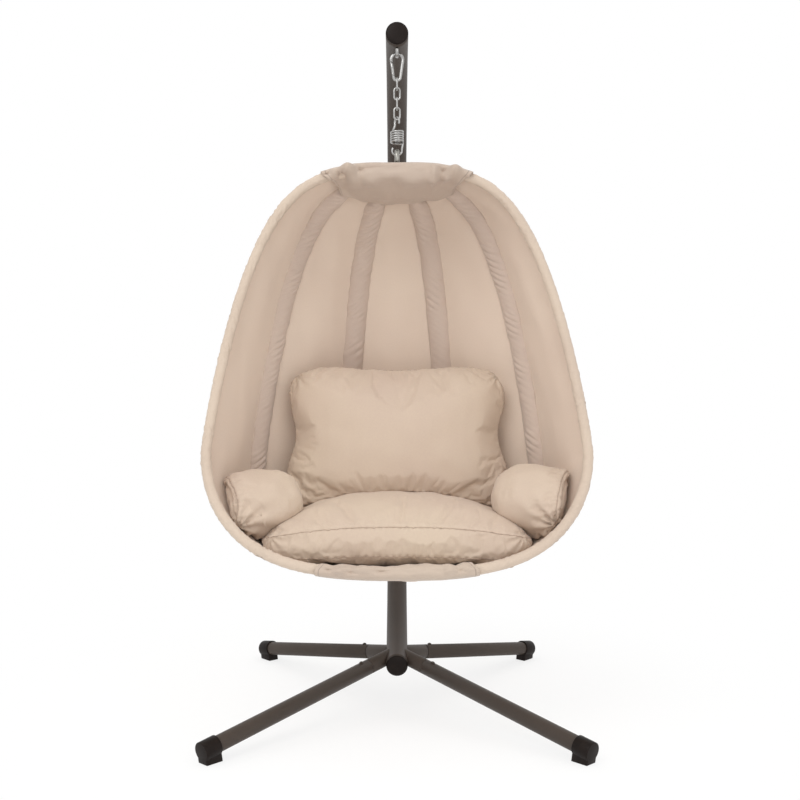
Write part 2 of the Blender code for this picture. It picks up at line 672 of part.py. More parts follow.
def trimmed(start):
    """A pole's stations, ending at one distance from the axis above and below."""
    inner = pole_line[pole_line[:, 1] > start + POLE_OD / 4]
    return [station_at(start, low=False), *inner.tolist(), station_at(start, low=True)]


def pod_point(station, azimuth, out=0.0, aside=0.0):
    """A place on the pod: its station on a pole, the pole's azimuth, and offsets from there."""
    drop, radius, out_drop, out_radius = station
    radial = X * math.cos(azimuth) + back * math.sin(azimuth)
    tangent = back * math.cos(azimuth) - X * math.sin(azimuth)
    return (top_hub_centre + down * (drop + out * out_drop) + radial * (radius + out * out_radius)
            + tangent * aside)


pole_names = ["rim_pole_right", "rib_pole_1", "rib_pole_2", "rib_pole_3", "rib_pole_4", "rim_pole_left"]
for number, name in enumerate(pole_names):
    route = [pod_point(station, number * PITCH) for station in trimmed(SOCKET_BOTTOM + GAP)]
    pole = make(name, wire_mesh(name, route, POLE_OD / 2, 1, caps=False), POWDER_COAT, chair)
    thicken(pole, POLE_WALL, -1)

# Hubs: half-round castings with a socket for each pole


def hub(name, centre):
    """A hub with its six pole sockets."""
    half = HUB_THICKNESS / 2
    piece = make(name, cylinder(name, centre - down * half, centre + down * half, HUB_RADIUS, 24),
                 STEEL, chair)
    flat = make_cutter(name + "_front", block(
        name + "_front", centre - back * (HUB_FRONT + HUB_RADIUS / 2),
        (HUB_RADIUS * 3, HUB_RADIUS, HUB_THICKNESS * 2), Matrix.Rotation(-TILT, 4, "X")), chair)
    combine(piece, flat, "DIFFERENCE")
    for number in range(POLE_COUNT):
        radial = X * math.cos(number * PITCH) + back * math.sin(number * PITCH)
        bore = make_cutter(f"{name}_socket_{number}", cylinder(
            f"{name}_socket_{number}", centre + radial * SOCKET_BOTTOM, centre + radial * HUB_RADIUS * 1.2,
            POLE_OD / 2 + GAP * 3, 10), chair)
        combine(piece, bore, "DIFFERENCE")
    return piece


top_hub = hub("top_hub", top_hub_centre)
bottom_hub = hub("bottom_hub", top_hub_centre + down * POD_LENGTH)
hub_low_face = hub_top_face + down * HUB_THICKNESS
shank_bore = make_cutter("shank_bore", cylinder("shank_bore", hub_top_face - down * HUB_THICKNESS,
                                                hub_low_face + down * HUB_THICKNESS * 2,
                                                EYE_BOLT_OD / 2 + GAP * 2, 12), chair)
combine(top_hub, shank_bore, "DIFFERENCE")

# Eye bolt through the top hub, with its washer and nut

eye_ring = arc_points(chair_eye_centre, Y, Z, chair_eye_bend, 0, 2 * math.pi, 25)[:-1]
eye_bolt = make("eye_bolt", wire_mesh("eye_bolt", eye_ring, CHAIR_EYE_ROD / 2, 2, cyclic=True), STEEL, chair)
eye_collar = make_cutter("eye_collar", cylinder(
    "eye_collar", chair_eye_centre + down * (chair_eye_bend + CHAIR_EYE_ROD / 4),
    hub_top_face - down * GAP, EYE_COLLAR_OD / 2 * 0.8, 16, end_radius=EYE_COLLAR_OD / 2), chair)
tail_end = hub_low_face + down * (WASHER + NUT + BOLT_TAIL + GAP * 2)
eye_shank = make_cutter("eye_shank", cylinder("eye_shank", hub_top_face - down * EYE_BOLT_OD / 4, tail_end,
                                              EYE_BOLT_OD / 2, 12), chair)
combine(eye_bolt, eye_collar, "UNION")
combine(eye_bolt, eye_shank, "UNION")
washer_face = hub_low_face + down * GAP
washer = make("eye_washer", cylinder("eye_washer", washer_face, washer_face + down * WASHER,
                                     WASHER_OD / 2, 16), ZINC, chair)
nut_face = washer_face + down * (WASHER + GAP)
nut = make("eye_nut", cylinder("eye_nut", nut_face, nut_face + down * NUT,
                               NUT_ACROSS / 2 / math.cos(math.pi / 6), 6), ZINC, chair)
for piece in (washer, nut):
    combine(piece, shank_bore, "DIFFERENCE")

# Cover panels: cloth stretched outside the poles, drawn in a little between them

cloth_seat = (POLE_OD / 2 + GAP) / math.cos(HALF_PITCH)
sleeve_seat = SLEEVE_OD / 2 + GAP
PANEL_SHARES = (0, 0.25, 0.5, 0.75, 1)
PANEL_DRAWN_IN = tuple(math.sin(math.pi * share) ** 2 for share in PANEL_SHARES)


def panel_edge(station, number, side):
    """Where a panel meets a pole: a seam over a rib, or the tangent of a rim sleeve."""
    at_rim = number in (0, POLE_COUNT - 1)
    if at_rim:
        return pod_point(station, number * PITCH, sleeve_seat * math.cos(HALF_PITCH),
                         side * sleeve_seat * math.sin(HALF_PITCH))
    return pod_point(station, number * PITCH, cloth_seat, side * GAP / 2)


panel_names = ["cover_panel_right", "cover_panel_back_right", "cover_panel_back", "cover_panel_back_left",
               "cover_panel_left"]
for number, name in enumerate(panel_names):
    middle = (number + 0.5) * PITCH
    rows = []
    for station in trimmed(PANEL_START):
        first = panel_edge(station, number, 1)
        last = panel_edge(station, number + 1, -1)
        inward = (pod_point(station, middle) - pod_point(station, middle, 1.0)).normalized()
        sag = PANEL_SAG * station[1] / POD_RADIUS
        rows.append([first.lerp(last, share) + inward * sag * drawn_in
                     for share, drawn_in in zip(PANEL_SHARES, PANEL_DRAWN_IN)])
    panel = make(name, sheet(name, rows), CANVAS, chair)
    thicken(panel, CLOTH, -1)

# Rim sleeves: cloth rolled round the two rim poles

for name, azimuth in (("rim_sleeve_right", 0), ("rim_sleeve_left", math.pi)):
    route = [pod_point(station, azimuth) for station in trimmed(SLEEVE_START)]
    sleeve = make(name, wire_mesh(name, route, SLEEVE_OD / 2, 1, caps=False), CANVAS, chair)
    sleeve_wall = SLEEVE_OD / 2 * math.cos(math.pi / 6) - POLE_OD / 2 - GAP
    thicken(sleeve, sleeve_wall, -1)

# Inside strips: cloth sewn over each rib

STRIP_SHARES = (-1, -0.45, 0, 0.45, 1)
crest = -(POLE_OD / 2 + GAP + STRIP_SLACK)
for number in range(1, POLE_COUNT - 1):
    name = f"rib_strip_{number}"
    rows = []
    for station in trimmed(STRIP_START):
        chord_share = STRIP_WIDTH / 2 / (2 * station[1] * math.sin(HALF_PITCH))
        drawn_in = PANEL_SAG * station[1] / POD_RADIUS * np.interp(chord_share, PANEL_SHARES, PANEL_DRAWN_IN)
        hem = cloth_seat - STRIP_WIDTH / 2 * math.tan(HALF_PITCH) * station[3] - drawn_in - 3 * GAP
        rows.append([pod_point(station, number * PITCH,
                               hem + (crest - hem) * (1 - share ** 2) ** 1.2,
                               share * STRIP_WIDTH / 2) for share in STRIP_SHARES])
    strip = make(name, sheet(name, rows), STRIP_CANVAS, chair)
    thicken(strip, STRIP_CLOTH, 1)

# Flaps: cloth wrapped over the rim to hide each hub, gathered towards its ends


def flap(name, low, rounds):
    """A hub cover: from the outside, over the rim, to the inside of the pod."""
    outer_edge = cloth_seat + CLOTH + GAP
    inner_edge = crest - STRIP_CLOTH - GAP
    outline = [(FLAP_OUTSIDE, outer_edge, 0), (FLAP_OUTSIDE * 0.5, 0.8, 1), (0, 1, 1),
               (-FLAP_AHEAD * 0.6, 0.9, 1), (-FLAP_AHEAD * 0.94, 0.45, 1), (-FLAP_AHEAD, -0.05, 1),
               (-FLAP_AHEAD * 0.9, -0.55, 1), (-FLAP_AHEAD * 0.45, -0.93, 1), (FLAP_INSIDE * 0.15, -1, 1),
               (FLAP_INSIDE * 0.45, -0.92, 1), (FLAP_INSIDE * 0.75, -0.75, 1), (FLAP_INSIDE, inner_edge, 0)]
    columns = 14
    rows = []
    for behind, height, on_hub in outline:
        row = []
        for column in range(columns + 1):
            share = 2 * column / columns - 1
            across = share * FLAP_HALF_WIDTH
            puff = FLAP_ROUND_RIM + (rounds[height < 0] - FLAP_ROUND_RIM) * (1 - share ** 2)
            fold = FLAP_FOLD * share ** 2 * (1 + math.cos(FLAP_FOLDS * math.pi * share)) / 2
            out = height * puff + math.copysign(fold, height) if on_hub else height
            station = station_at(math.hypot(across, behind), low)
            row.append(pod_point(station, math.atan2(behind, across), out))
        rows.append(row)
    piece = make(name, sheet(name, rows), CANVAS, chair)
    thicken(piece, CLOTH, 1 if low else -1)
    return piece


top_flap = flap("top_flap", False, TOP_FLAP_ROUND)
flap("bottom_flap", True, BOTTOM_FLAP_ROUND)
slit = make_cutter("eye_slit", block("eye_slit", chair_eye_centre, (*EYE_SLIT, EYE_STEM * 2.4),
                                     Matrix.Rotation(-TILT, 4, "X")), chair)
combine(top_flap, slit, "DIFFERENCE")

# Cushions: each is pressed into the room that the pod leaves

strip_crest = POLE_OD / 2 + GAP + STRIP_SLACK + STRIP_CLOTH
crest_drop, crest_radius = (pole_line[:, :2] - strip_crest * pole_line[:, 2:]).T
panel_drop, panel_radius = ((pole_line[:, :2] + cloth_seat * pole_line[:, 2:]) * (1, math.cos(HALF_PITCH))
                            - PANEL_SAG * pole_line[:, 1:2] / POD_RADIUS * pole_line[:, 2:]).T
flap_round = BOTTOM_FLAP_ROUND[1] + FLAP_FOLD + CLOTH
flap_drop, flap_radius = (pole_line[:, :2] - flap_round * pole_line[:, 2:]).T
rim_back = SLEEVE_OD / 2 + CUSHION_CLEARANCE


def in_pod(point):
    """Whether a point lies in the room for cushions, clear of panels, strips and lower flap."""
    offset = point - top_hub_centre
    drop, behind = offset.dot(down), offset.dot(back)
    room = min(np.interp(drop, panel_drop, panel_radius), np.interp(drop, crest_drop, crest_radius))
    if abs(offset.x) < FLAP_HALF_WIDTH * 1.1 and behind < FLAP_INSIDE * 1.2:
        room = min(room, np.interp(drop, flap_drop, flap_radius))
    return behind > rim_back and math.hypot(offset.x, behind) + CUSHION_CLEARANCE < room


def pressed(point, heart):
    """The point, or where the way to it from the cushion's heart meets the pod."""
    if in_pod(point):
        return point
    near, far = 0.0, 1.0
    for _ in range(24):
        middle = (near + far) / 2
        if in_pod(heart.lerp(point, middle)):
            near = middle
        else:
            far = middle
    return heart.lerp(point, near)


def squared_reach(angle, power):
    """The reach of a squared oval at an angle."""
    return (abs(math.cos(angle)) ** power + abs(math.sin(angle)) ** power) ** (-1 / power)


pod_sole = top_hub_centre + down * POD_LENGTH
seat_seam = pod_sole.z + SEAT_SEAM_UP
seat_middle = Vector((0, pod_sole.y + SEAT_FRONT + SEAT_DEPTH / 2, seat_seam - SEAT_BORDER / 3))


def seat_share(x, y):
    """How far out a place lies on the seat, from 0 at its middle to 1 at its seam."""
    u, v = x / (SEAT_WIDTH / 2), (y - seat_middle.y) / (SEAT_DEPTH / 2)
    power = SEAT_POWERS[v > 0]
    return (abs(u) ** power + abs(v) ** power) ** (1 / power)


def seat_top(x, y):
    """The height of the seat's crowned top."""
    u = min(1.0, abs(x) / (SEAT_WIDTH / 2))
    share = min(1.0, seat_share(x, y))
    return seat_seam + SEAT_CROWN * (1 - share ** 2.4) - SEAT_SIDE_DROP * u ** 2.5


SEAT_SIDES = 32
seat_rings = []
for share, layer in ((0.35, "top"), (0.65, "top"), (0.86, "top"), (0.97, "top"), (1.0, "top"),
                     (0.985, "side"), (1.0, "hem"), (0.93, "under"), (0.72, "under"), (0.4, "under")):
    ring = []
    for i in range(SEAT_SIDES):
        angle = 2 * math.pi * (i + 0.5) / SEAT_SIDES
        reach = squared_reach(angle, SEAT_POWERS[math.sin(angle) > 0])
        edge_x = reach * math.cos(angle) * SEAT_WIDTH / 2
        edge_y = reach * math.sin(angle) * SEAT_DEPTH / 2
        x, y = share * edge_x, seat_middle.y + share * edge_y
        if layer == "top":
            z = seat_top(x, y)
        else:
            z = seat_top(edge_x, seat_middle.y + edge_y) - SEAT_BORDER * (0.5 if layer == "side" else 1)
        if layer == "under":
            z -= SEAT_BULGE * (1 - share ** 2)
        ring.append(pressed(Vector((x, y, z)), seat_middle))
    seat_rings.append(ring)
seat_head = Vector((0, seat_middle.y, seat_top(0, seat_middle.y)))
seat_tail = pressed(seat_middle - Z * SEAT_BULGE * 2, seat_middle)
make("seat_cushion", stuffed("seat_cushion", seat_head, seat_rings, seat_tail), CUSHION_CANVAS, chair)


def on_seat(point, clear):
    """The point, lifted clear of the seat's top and of the border round it."""
    if seat_share(point.x, point.y) > SEAT_BORDER_SHARE:
        return point
    return Vector((point.x, point.y, max(point.z, seat_top(point.x, point.y) + clear)))


BACK_SIDES = 28
back_middle = pod_sole + Vector((0, BACK_BEHIND, BACK_UP))
back_up = Vector((0, math.sin(BACK_LEAN), math.cos(BACK_LEAN)))
back_front = Vector((0, -math.cos(BACK_LEAN), math.sin(BACK_LEAN)))
back_rings = []
for share, side in ((0.35, 1), (0.62, 1), (0.83, 1), (0.95, 1), (1.0, 0), (0.95, -1), (0.83, -1), (0.62, -1),
                    (0.35, -1)):
    ring = []
    for i in range(BACK_SIDES):
        angle = 2 * math.pi * (i + 0.5) / BACK_SIDES
        reach = share * squared_reach(angle, 5) * (1 - BACK_DRAWN_IN * math.cos(2 * angle) ** 2 * share)
        swell = BACK_THICKNESS / 2 * side * (1 - share ** 2) ** 0.6
        point = (back_middle + X * reach * math.cos(angle) * BACK_WIDTH / 2
                 + back_up * reach * math.sin(angle) * BACK_HEIGHT / 2 + back_front * swell)
        ring.append(on_seat(pressed(point, back_middle), BACK_CLEARANCE))
    back_rings.append(ring)
back_head = back_middle + back_front * BACK_THICKNESS / 2
back_tail = pressed(back_middle - back_front * BACK_THICKNESS / 2, back_middle)
make("back_cushion", stuffed("back_cushion", back_head, back_rings, back_tail), CUSHION_CANVAS, chair)

ARM_SIDES = 18
for name, side in (("arm_cushion_left", -1), ("arm_cushion_right", 1)):
    front, middle, rear = (pod_sole + Vector((side * across * POD_RADIUS, behind, up))
                           for across, behind, up in ARM_SPINE)
    rings = []
    for along, radius in ((0.0, ARM_END_RADIUS * 0.6), (0.02, ARM_END_RADIUS), (0.1, ARM_RADIUS * 0.93),
                          (0.3, ARM_RADIUS), (0.5, ARM_RADIUS), (0.7, ARM_RADIUS), (0.9, ARM_RADIUS * 0.93),
                          (0.98, ARM_END_RADIUS), (1.0, ARM_END_RADIUS * 0.6)):
        spine = front.lerp(middle, along).lerp(middle.lerp(rear, along), along)
        run = (front.lerp(middle, along) - middle.lerp(rear, along)).normalized()
        across = run.cross(Z).normalized()
        lift = across.cross(run).normalized()
        angles = [2 * math.pi * i / ARM_SIDES for i in range(ARM_SIDES)]
        ring = [spine + (across * math.cos(angle) + lift * math.sin(angle)) * radius for angle in angles]
        rings.append([on_seat(pressed(point, spine), ARM_CLEARANCE) for point in ring])
    make(name, stuffed(name, front, rings, rear), CUSHION_CANVAS, chair)

# The assembly stands with the middle of its footprint on the origin

depsgraph = bpy.context.evaluated_depsgraph_get()
reach = []
for piece in parts.objects:
    if piece.type in ("MESH", "CURVE"):
        shape = piece.evaluated_get(depsgraph)
        mesh = shape.to_mesh()
        reach += [(shape.matrix_world @ vertex.co).y for vertex in mesh.vertices]
        shape.to_mesh_clear()
shift = Vector((0, -(min(reach) + max(reach)) / 2, 0))
stand.location = shift
bpy.context.view_layer.update()
for name, place in places.items():
    print(name, [round(value, 5) for value in place + shift])
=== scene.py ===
import json
from functools import lru_cache
from math import asin, atan2, copysign, cos, exp, hypot, pi, radians, sin, sqrt, tan

import bmesh
import bpy
import numpy as np
from mathutils import Matrix, Vector, noise
from mathutils.bvhtree import BVHTree
from mathutils.kdtree import KDTree


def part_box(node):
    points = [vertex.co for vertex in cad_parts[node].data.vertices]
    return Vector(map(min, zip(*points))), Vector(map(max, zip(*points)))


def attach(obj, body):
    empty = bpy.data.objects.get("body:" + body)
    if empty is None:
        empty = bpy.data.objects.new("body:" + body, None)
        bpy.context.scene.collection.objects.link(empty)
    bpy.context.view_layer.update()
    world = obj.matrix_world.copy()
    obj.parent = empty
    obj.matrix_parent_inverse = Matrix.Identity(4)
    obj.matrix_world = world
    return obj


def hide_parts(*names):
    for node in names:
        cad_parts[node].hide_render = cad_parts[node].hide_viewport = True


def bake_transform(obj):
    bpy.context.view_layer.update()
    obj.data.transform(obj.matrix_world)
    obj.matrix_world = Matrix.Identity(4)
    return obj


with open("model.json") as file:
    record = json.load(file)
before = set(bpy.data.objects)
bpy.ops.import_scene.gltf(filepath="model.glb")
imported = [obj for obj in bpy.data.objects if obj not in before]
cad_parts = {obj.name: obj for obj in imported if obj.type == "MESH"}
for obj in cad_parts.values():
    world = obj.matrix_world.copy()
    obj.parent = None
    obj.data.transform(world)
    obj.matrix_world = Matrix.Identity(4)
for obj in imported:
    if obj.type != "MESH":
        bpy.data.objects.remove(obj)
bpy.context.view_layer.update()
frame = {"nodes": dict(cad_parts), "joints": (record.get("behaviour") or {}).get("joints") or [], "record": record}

# View: the camera stands in front of the pod's opening, level with its middle, with a long lens.
# Room and floor are plain white. Large soft lamps stand front left, behind the camera and on the right.
scene = bpy.context.scene
hang = Vector(frame["record"]["behaviour"]["joints"][0]["pos_m"])
image_side = 800
focal_length_px = 1045.3
hanging_axis_px = 397
camera_ahead = 2.530
camera_height = 0.823
camera_dip = 0.0181
lens = bpy.data.cameras.new("camera")
lens.sensor_width = 36
lens.lens = focal_length_px / image_side * lens.sensor_width
lens.shift_x = (image_side / 2 - hanging_axis_px) / image_side
camera = bpy.data.objects.new("camera", lens)
camera.location = (0, hang.y - camera_ahead, camera_height)
camera.rotation_euler = (pi / 2 - camera_dip, 0, 0)
scene.collection.objects.link(camera)
scene.camera = camera
scene.view_settings.view_transform = "Standard"
pod_heart = Vector((0, hang.y - 0.05, 0.75))
for name, aside, ahead, height, size, power in (("key_lamp", -1.2, 2.0, 3.0, 1.6, 26),
                                                ("fill_lamp", 1.9, 2.2, 1.2, 1.8, 8),
                                                ("front_lamp", 0.2, 3.3, 1.1, 2.2, 13)):
    light = bpy.data.lights.new(name, "AREA")
    light.size = size
    light.energy = power
    lamp = bpy.data.objects.new(name, light)
    lamp.location = (aside, hang.y - ahead, height)
    lamp.rotation_euler = (pod_heart - lamp.location).to_track_quat("-Z", "Y").to_euler()
    scene.collection.objects.link(lamp)


def node(tree, kind, inputs=None, **options):
    """A shader node with its options set, and its inputs given a value or linked to an output."""
    made = tree.nodes.new("ShaderNode" + kind)
    for name, value in options.items():
        setattr(made, name, value)
    for name, value in (inputs or {}).items():
        if isinstance(value, bpy.types.Node):
            value = value.outputs[0]
        if isinstance(value, bpy.types.NodeSocket):
            tree.links.new(value, made.inputs[name])
        else:
            made.inputs[name].default_value = value
    return made


def seen_directly(tree):
    """1 where the camera, a mirror or glass looks at the surface, 0 where it only lights others."""
    rays = node(tree, "LightPath")
    seen = rays.outputs["Is Camera Ray"]
    for other in ("Is Glossy Ray", "Is Transmission Ray"):
        seen = node(tree, "Math", {0: seen, 1: rays.outputs[other]}, operation="MAXIMUM")
    return seen


room = bpy.data.worlds.new("white_room")
room.use_nodes = True
scene.world = room
tree = room.node_tree
tree.nodes.clear()
height = node(tree, "SeparateXYZ", {0: node(tree, "TexCoord").outputs["Generated"]}).outputs["Z"]
glow = node(tree, "MapRange", {"Value": height, "From Min": 0.0, "From Max": 0.8, "To Min": 0.40,
                               "To Max": 1.15}, interpolation_type="SMOOTHSTEP")
room_light = node(tree, "Background", {"Color": (1, 0.99, 0.97, 1), "Strength": glow})
room_white = node(tree, "Background", {"Color": (1, 1, 1, 1), "Strength": 1.0})
room_both = node(tree, "MixShader", {0: seen_directly(tree), 1: room_light, 2: room_white})
node(tree, "OutputWorld", {"Surface": room_both})


def object_of(name, bm):
    """A new object in the scene, from its finished mesh."""
    mesh = bpy.data.meshes.new(name)
    bm.to_mesh(mesh)
    bm.free()
    made = bpy.data.objects.new(name, mesh)
    scene.collection.objects.link(made)
    return made


floor_radius = 7.0
shadow_reach = (0.35, 1.15)
bm = bmesh.new()
bmesh.ops.create_circle(bm, cap_ends=True, segments=96, radius=floor_radius)
floor = object_of("floor", bm)
white_floor = bpy.data.materials.new("white_floor")
white_floor.use_nodes = True
tree = white_floor.node_tree
tree.nodes.clear()
spot = node(tree, "TexCoord").outputs["Object"]
away = node(tree, "VectorMath", {0: spot}, operation="LENGTH").outputs["Value"]
fade = node(tree, "MapRange", {"Value": away, "From Min": shadow_reach[0], "From Max": shadow_reach[1],
                               "To Min": 0.72, "To Max": 1.0}, interpolation_type="SMOOTHSTEP")
share = node(tree, "Math", {0: fade, 1: seen_directly(tree)}, operation="MULTIPLY")
matt = node(tree, "BsdfDiffuse", {"Color": (0.92, 0.92, 0.92, 1)})
glow = node(tree, "Emission", {"Color": (1, 1, 1, 1), "Strength": 1.0})
both = node(tree, "MixShader", {0: share, 1: matt, 2: glow})
node(tree, "OutputMaterial", {"Surface": both})
floor.data.materials.append(white_floor)

# Crescent post: two lengths of bent steel tube, powder coated in dark taupe. The upper one is drawn in
# at its lower end and plugged into the lower one, and a round-head bolt holds the joint.
post_radius = 0.027
post_wall = 0.002
crescent_radius = 0.772
crescent_ahead = 0.0485
foot_ahead, legs_ahead = 0.066, 0.138
post_low, post_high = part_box("upper_post")
crescent_centre = Vector((0, hang.y - crescent_ahead, post_high.z - post_radius - crescent_radius))
arm_end = asin((post_low.y - crescent_centre.y) / crescent_radius)
post_joint = radians(112)
post_neck = 0.004
post_plug = 0.085
foot_end = pi - asin((foot_ahead + crescent_ahead) / crescent_radius)


def bare_material(name):
    """A new material with its node tree and its texture coordinates."""
    material = bpy.data.materials.new(name)
    material.use_nodes = True
    return material, material.node_tree, node(material.node_tree, "TexCoord").outputs


def toned(colour, share):
    """A colour made lighter or darker."""
    return [share * part for part in colour]


def two_tone(tree, factor, low, low_colour, high, high_colour):
    """A colour that goes from one to another while the factor goes from low to high."""
    ramp = node(tree, "ValToRGB", {"Fac": factor})
    for element, place, colour in zip(ramp.color_ramp.elements, (low, high), (low_colour, high_colour)):
        element.position = place
        element.color = (*colour, 1)
    return ramp


def shaded(material, base, gloss, relief, **constants):
    """The material, with its colour, roughness and relief linked to its shader and the rest set there."""
    tree = material.node_tree
    shader = tree.nodes["Principled BSDF"]
    for socket, source in (("Base Color", base), ("Roughness", gloss), ("Normal", relief)):
        if isinstance(source, bpy.types.Node):
            source = source.outputs[0]
        tree.links.new(source, shader.inputs[socket])
    for socket, value in constants.items():
        shader.inputs[socket.replace("_", " ")].default_value = value
    return material


def cloudy(name, colour, tones, cloud, grain, gloss, relief, fleck=None, **constants):
    """A material with clouds in its colour and gloss, and a fine grain in relief.
    Tones give the clouds' lower and upper limit, each with its share of the colour."""
    material, tree, places = bare_material(name)

    def specks(scale, detail):
        """Random specks of a scale."""
        return node(tree, "TexNoise", {"Vector": places["Object"], "Scale": scale, "Detail": detail})

    clouds = specks(*cloud)
    mixed = node(tree, "Mix", {"Factor": 0.35, "A": clouds, "B": specks(*fleck)}) if fleck else clouds
    (low, dark), (high, light) = tones
    base = two_tone(tree, mixed, low, toned(colour, dark), high, toned(colour, light))
    rough = node(tree, "MapRange", {"Value": clouds, "To Min": gloss[0], "To Max": gloss[1]})
    bumps = node(tree, "Bump", {"Height": specks(*grain), "Strength": relief[0], "Distance": relief[1]})
    return shaded(material, base, rough, bumps, **constants)


def piece_of(name, bm, material, body, slot, *nodes):
    """A finished piece from its mesh, set on its body in place of its CAD nodes."""
    piece = object_of(name, bm)
    piece.data.materials.append(material)
    piece.data.shade_smooth()
    if body:
        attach(piece, body)
    if nodes:
        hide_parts(*nodes)
    return piece


def tube_along_crescent(bm, radius, start, end, steps):
    """A round tube along the crescent, between two angles from its crown."""
    place = (Matrix.Translation(crescent_centre) @ Matrix.Rotation(-start, 4, "X")
             @ Matrix.Translation((0, 0, crescent_radius)) @ Matrix.Rotation(pi / 2, 4, "X"))
    ring = bmesh.ops.create_circle(bm, segments=40, radius=radius, matrix=place)["verts"]
    edges = list({edge for vert in ring for edge in vert.link_edges})
    bmesh.ops.spin(bm, geom=ring + edges, cent=crescent_centre, axis=(1, 0, 0), angle=start - end,
                   steps=steps, use_merge=False)


# The coat has a fine orange peel, faint clouds in its colour and a soft gloss.
taupe_coat = cloudy("taupe_powder_coat", (0.060, 0.047, 0.039), ((0.3, 0.86), (0.7, 1.14)), cloud=(7.0, 4.0),
                    grain=(900.0, 1.0), gloss=(0.42, 0.54), relief=(0.12, 0.0004), fleck=(420.0, 2.0),
                    Specular_IOR_Level=0.2)
coated = (taupe_coat, "stand", "powder_coat")
for name, start, end, plug in (("upper_post", arm_end, post_joint - post_neck / crescent_radius, True),
                               ("lower_post", post_joint, foot_end, False)):
    bm = bmesh.new()
    tube_along_crescent(bm, post_radius, start, end, 72)
    if plug:
        plug_radius = post_radius - post_wall - 0.0003
        tube_along_crescent(bm, plug_radius, end, post_joint + post_plug / crescent_radius, 10)
    bmesh.ops.recalc_face_normals(bm, faces=bm.faces)
    post = piece_of(name + "_tube", bm, *coated, name)
    wall = post.modifiers.new("wall", "SOLIDIFY")
    wall.thickness = post_wall
    wall.offset = -1


def on_crescent(angle):
    """A point of the post's centre line, by its angle from the crown towards the back."""
    return crescent_centre + Vector((0, sin(angle), cos(angle))) * crescent_radius


x_axis, y_axis, z_axis = Vector((1, 0, 0)), Vector((0, 1, 0)), Vector((0, 0, 1))


def turned(profile, place, outward, segments=48, bm=None):
    """A turned shape: its profile of (radius, height) spun round the outward way from a place."""
    bm = bm or bmesh.new()
    turn = Matrix.Translation(place) @ z_axis.rotation_difference(outward).to_matrix().to_4x4()
    verts = [bm.verts.new(turn @ Vector((radius, 0, height))) for radius, height in profile]
    edges = [bm.edges.new(pair) for pair in zip(verts, verts[1:])]
    bmesh.ops.spin(bm, geom=verts + edges, cent=place, axis=outward, angle=2 * pi, steps=segments,
                   use_merge=True)
    bmesh.ops.remove_doubles(bm, verts=bm.verts, dist=0.00002)
    bmesh.ops.recalc_face_normals(bm, faces=bm.faces)
    return bm


def dome_bolt(name, seat, outward, node_name):
    """A round-head bolt, seated on a tube."""
    bm = turned([(0, 0.0040), (0.0022, 0.0037), (0.0041, 0.0026), (0.0053, 0.0010), (0.0055, 0.0003),
                 (0.0030, 0.0003), (0.0030, -0.0060), (0, -0.0060)], seat, outward, 28)
    piece_of(name, bm, *coated, node_name)


bolt_angle = post_joint + post_plug / 2 / crescent_radius
post_out = (on_crescent(bolt_angle) - crescent_centre).normalized()
dome_bolt("post_joint_bolt", on_crescent(bolt_angle) + post_out * post_radius, post_out, "post_bolt")

# Tube end caps: brown-black moulded plugs with a low crown, pushed into the arm's and the foot's open ends.
# Their plastic has a faint grain, and scuffs that change its gloss.
cap_crown = 0.0065
brown_black = cloudy("brown_black_plastic", (0.0090, 0.0056, 0.0044), ((0.35, 1.0), (0.75, 1.5)),
                     cloud=(45.0, 6.0), grain=(1300.0, 2.0), gloss=(0.38, 0.55), relief=(0.15, 0.0003),
                     Specular_IOR_Level=0.14)
for name, angle, way in (("top_cap", arm_end, -1), ("bottom_cap", foot_end, 1)):
    bm = turned([(0, cap_crown), (0.012, cap_crown - 0.0004), (0.020, cap_crown - 0.0014), (0.0245, 0.0036),
                 (0.0268, 0.0018), (post_radius, 0.0003), (0.0245, 0.0003), (0.0245, -0.014), (0, -0.014)],
                on_crescent(angle), Vector((0, cos(angle), -sin(angle))) * way)
    piece_of(name + "_plug", bm, brown_black, "stand", "black_plastic", name)

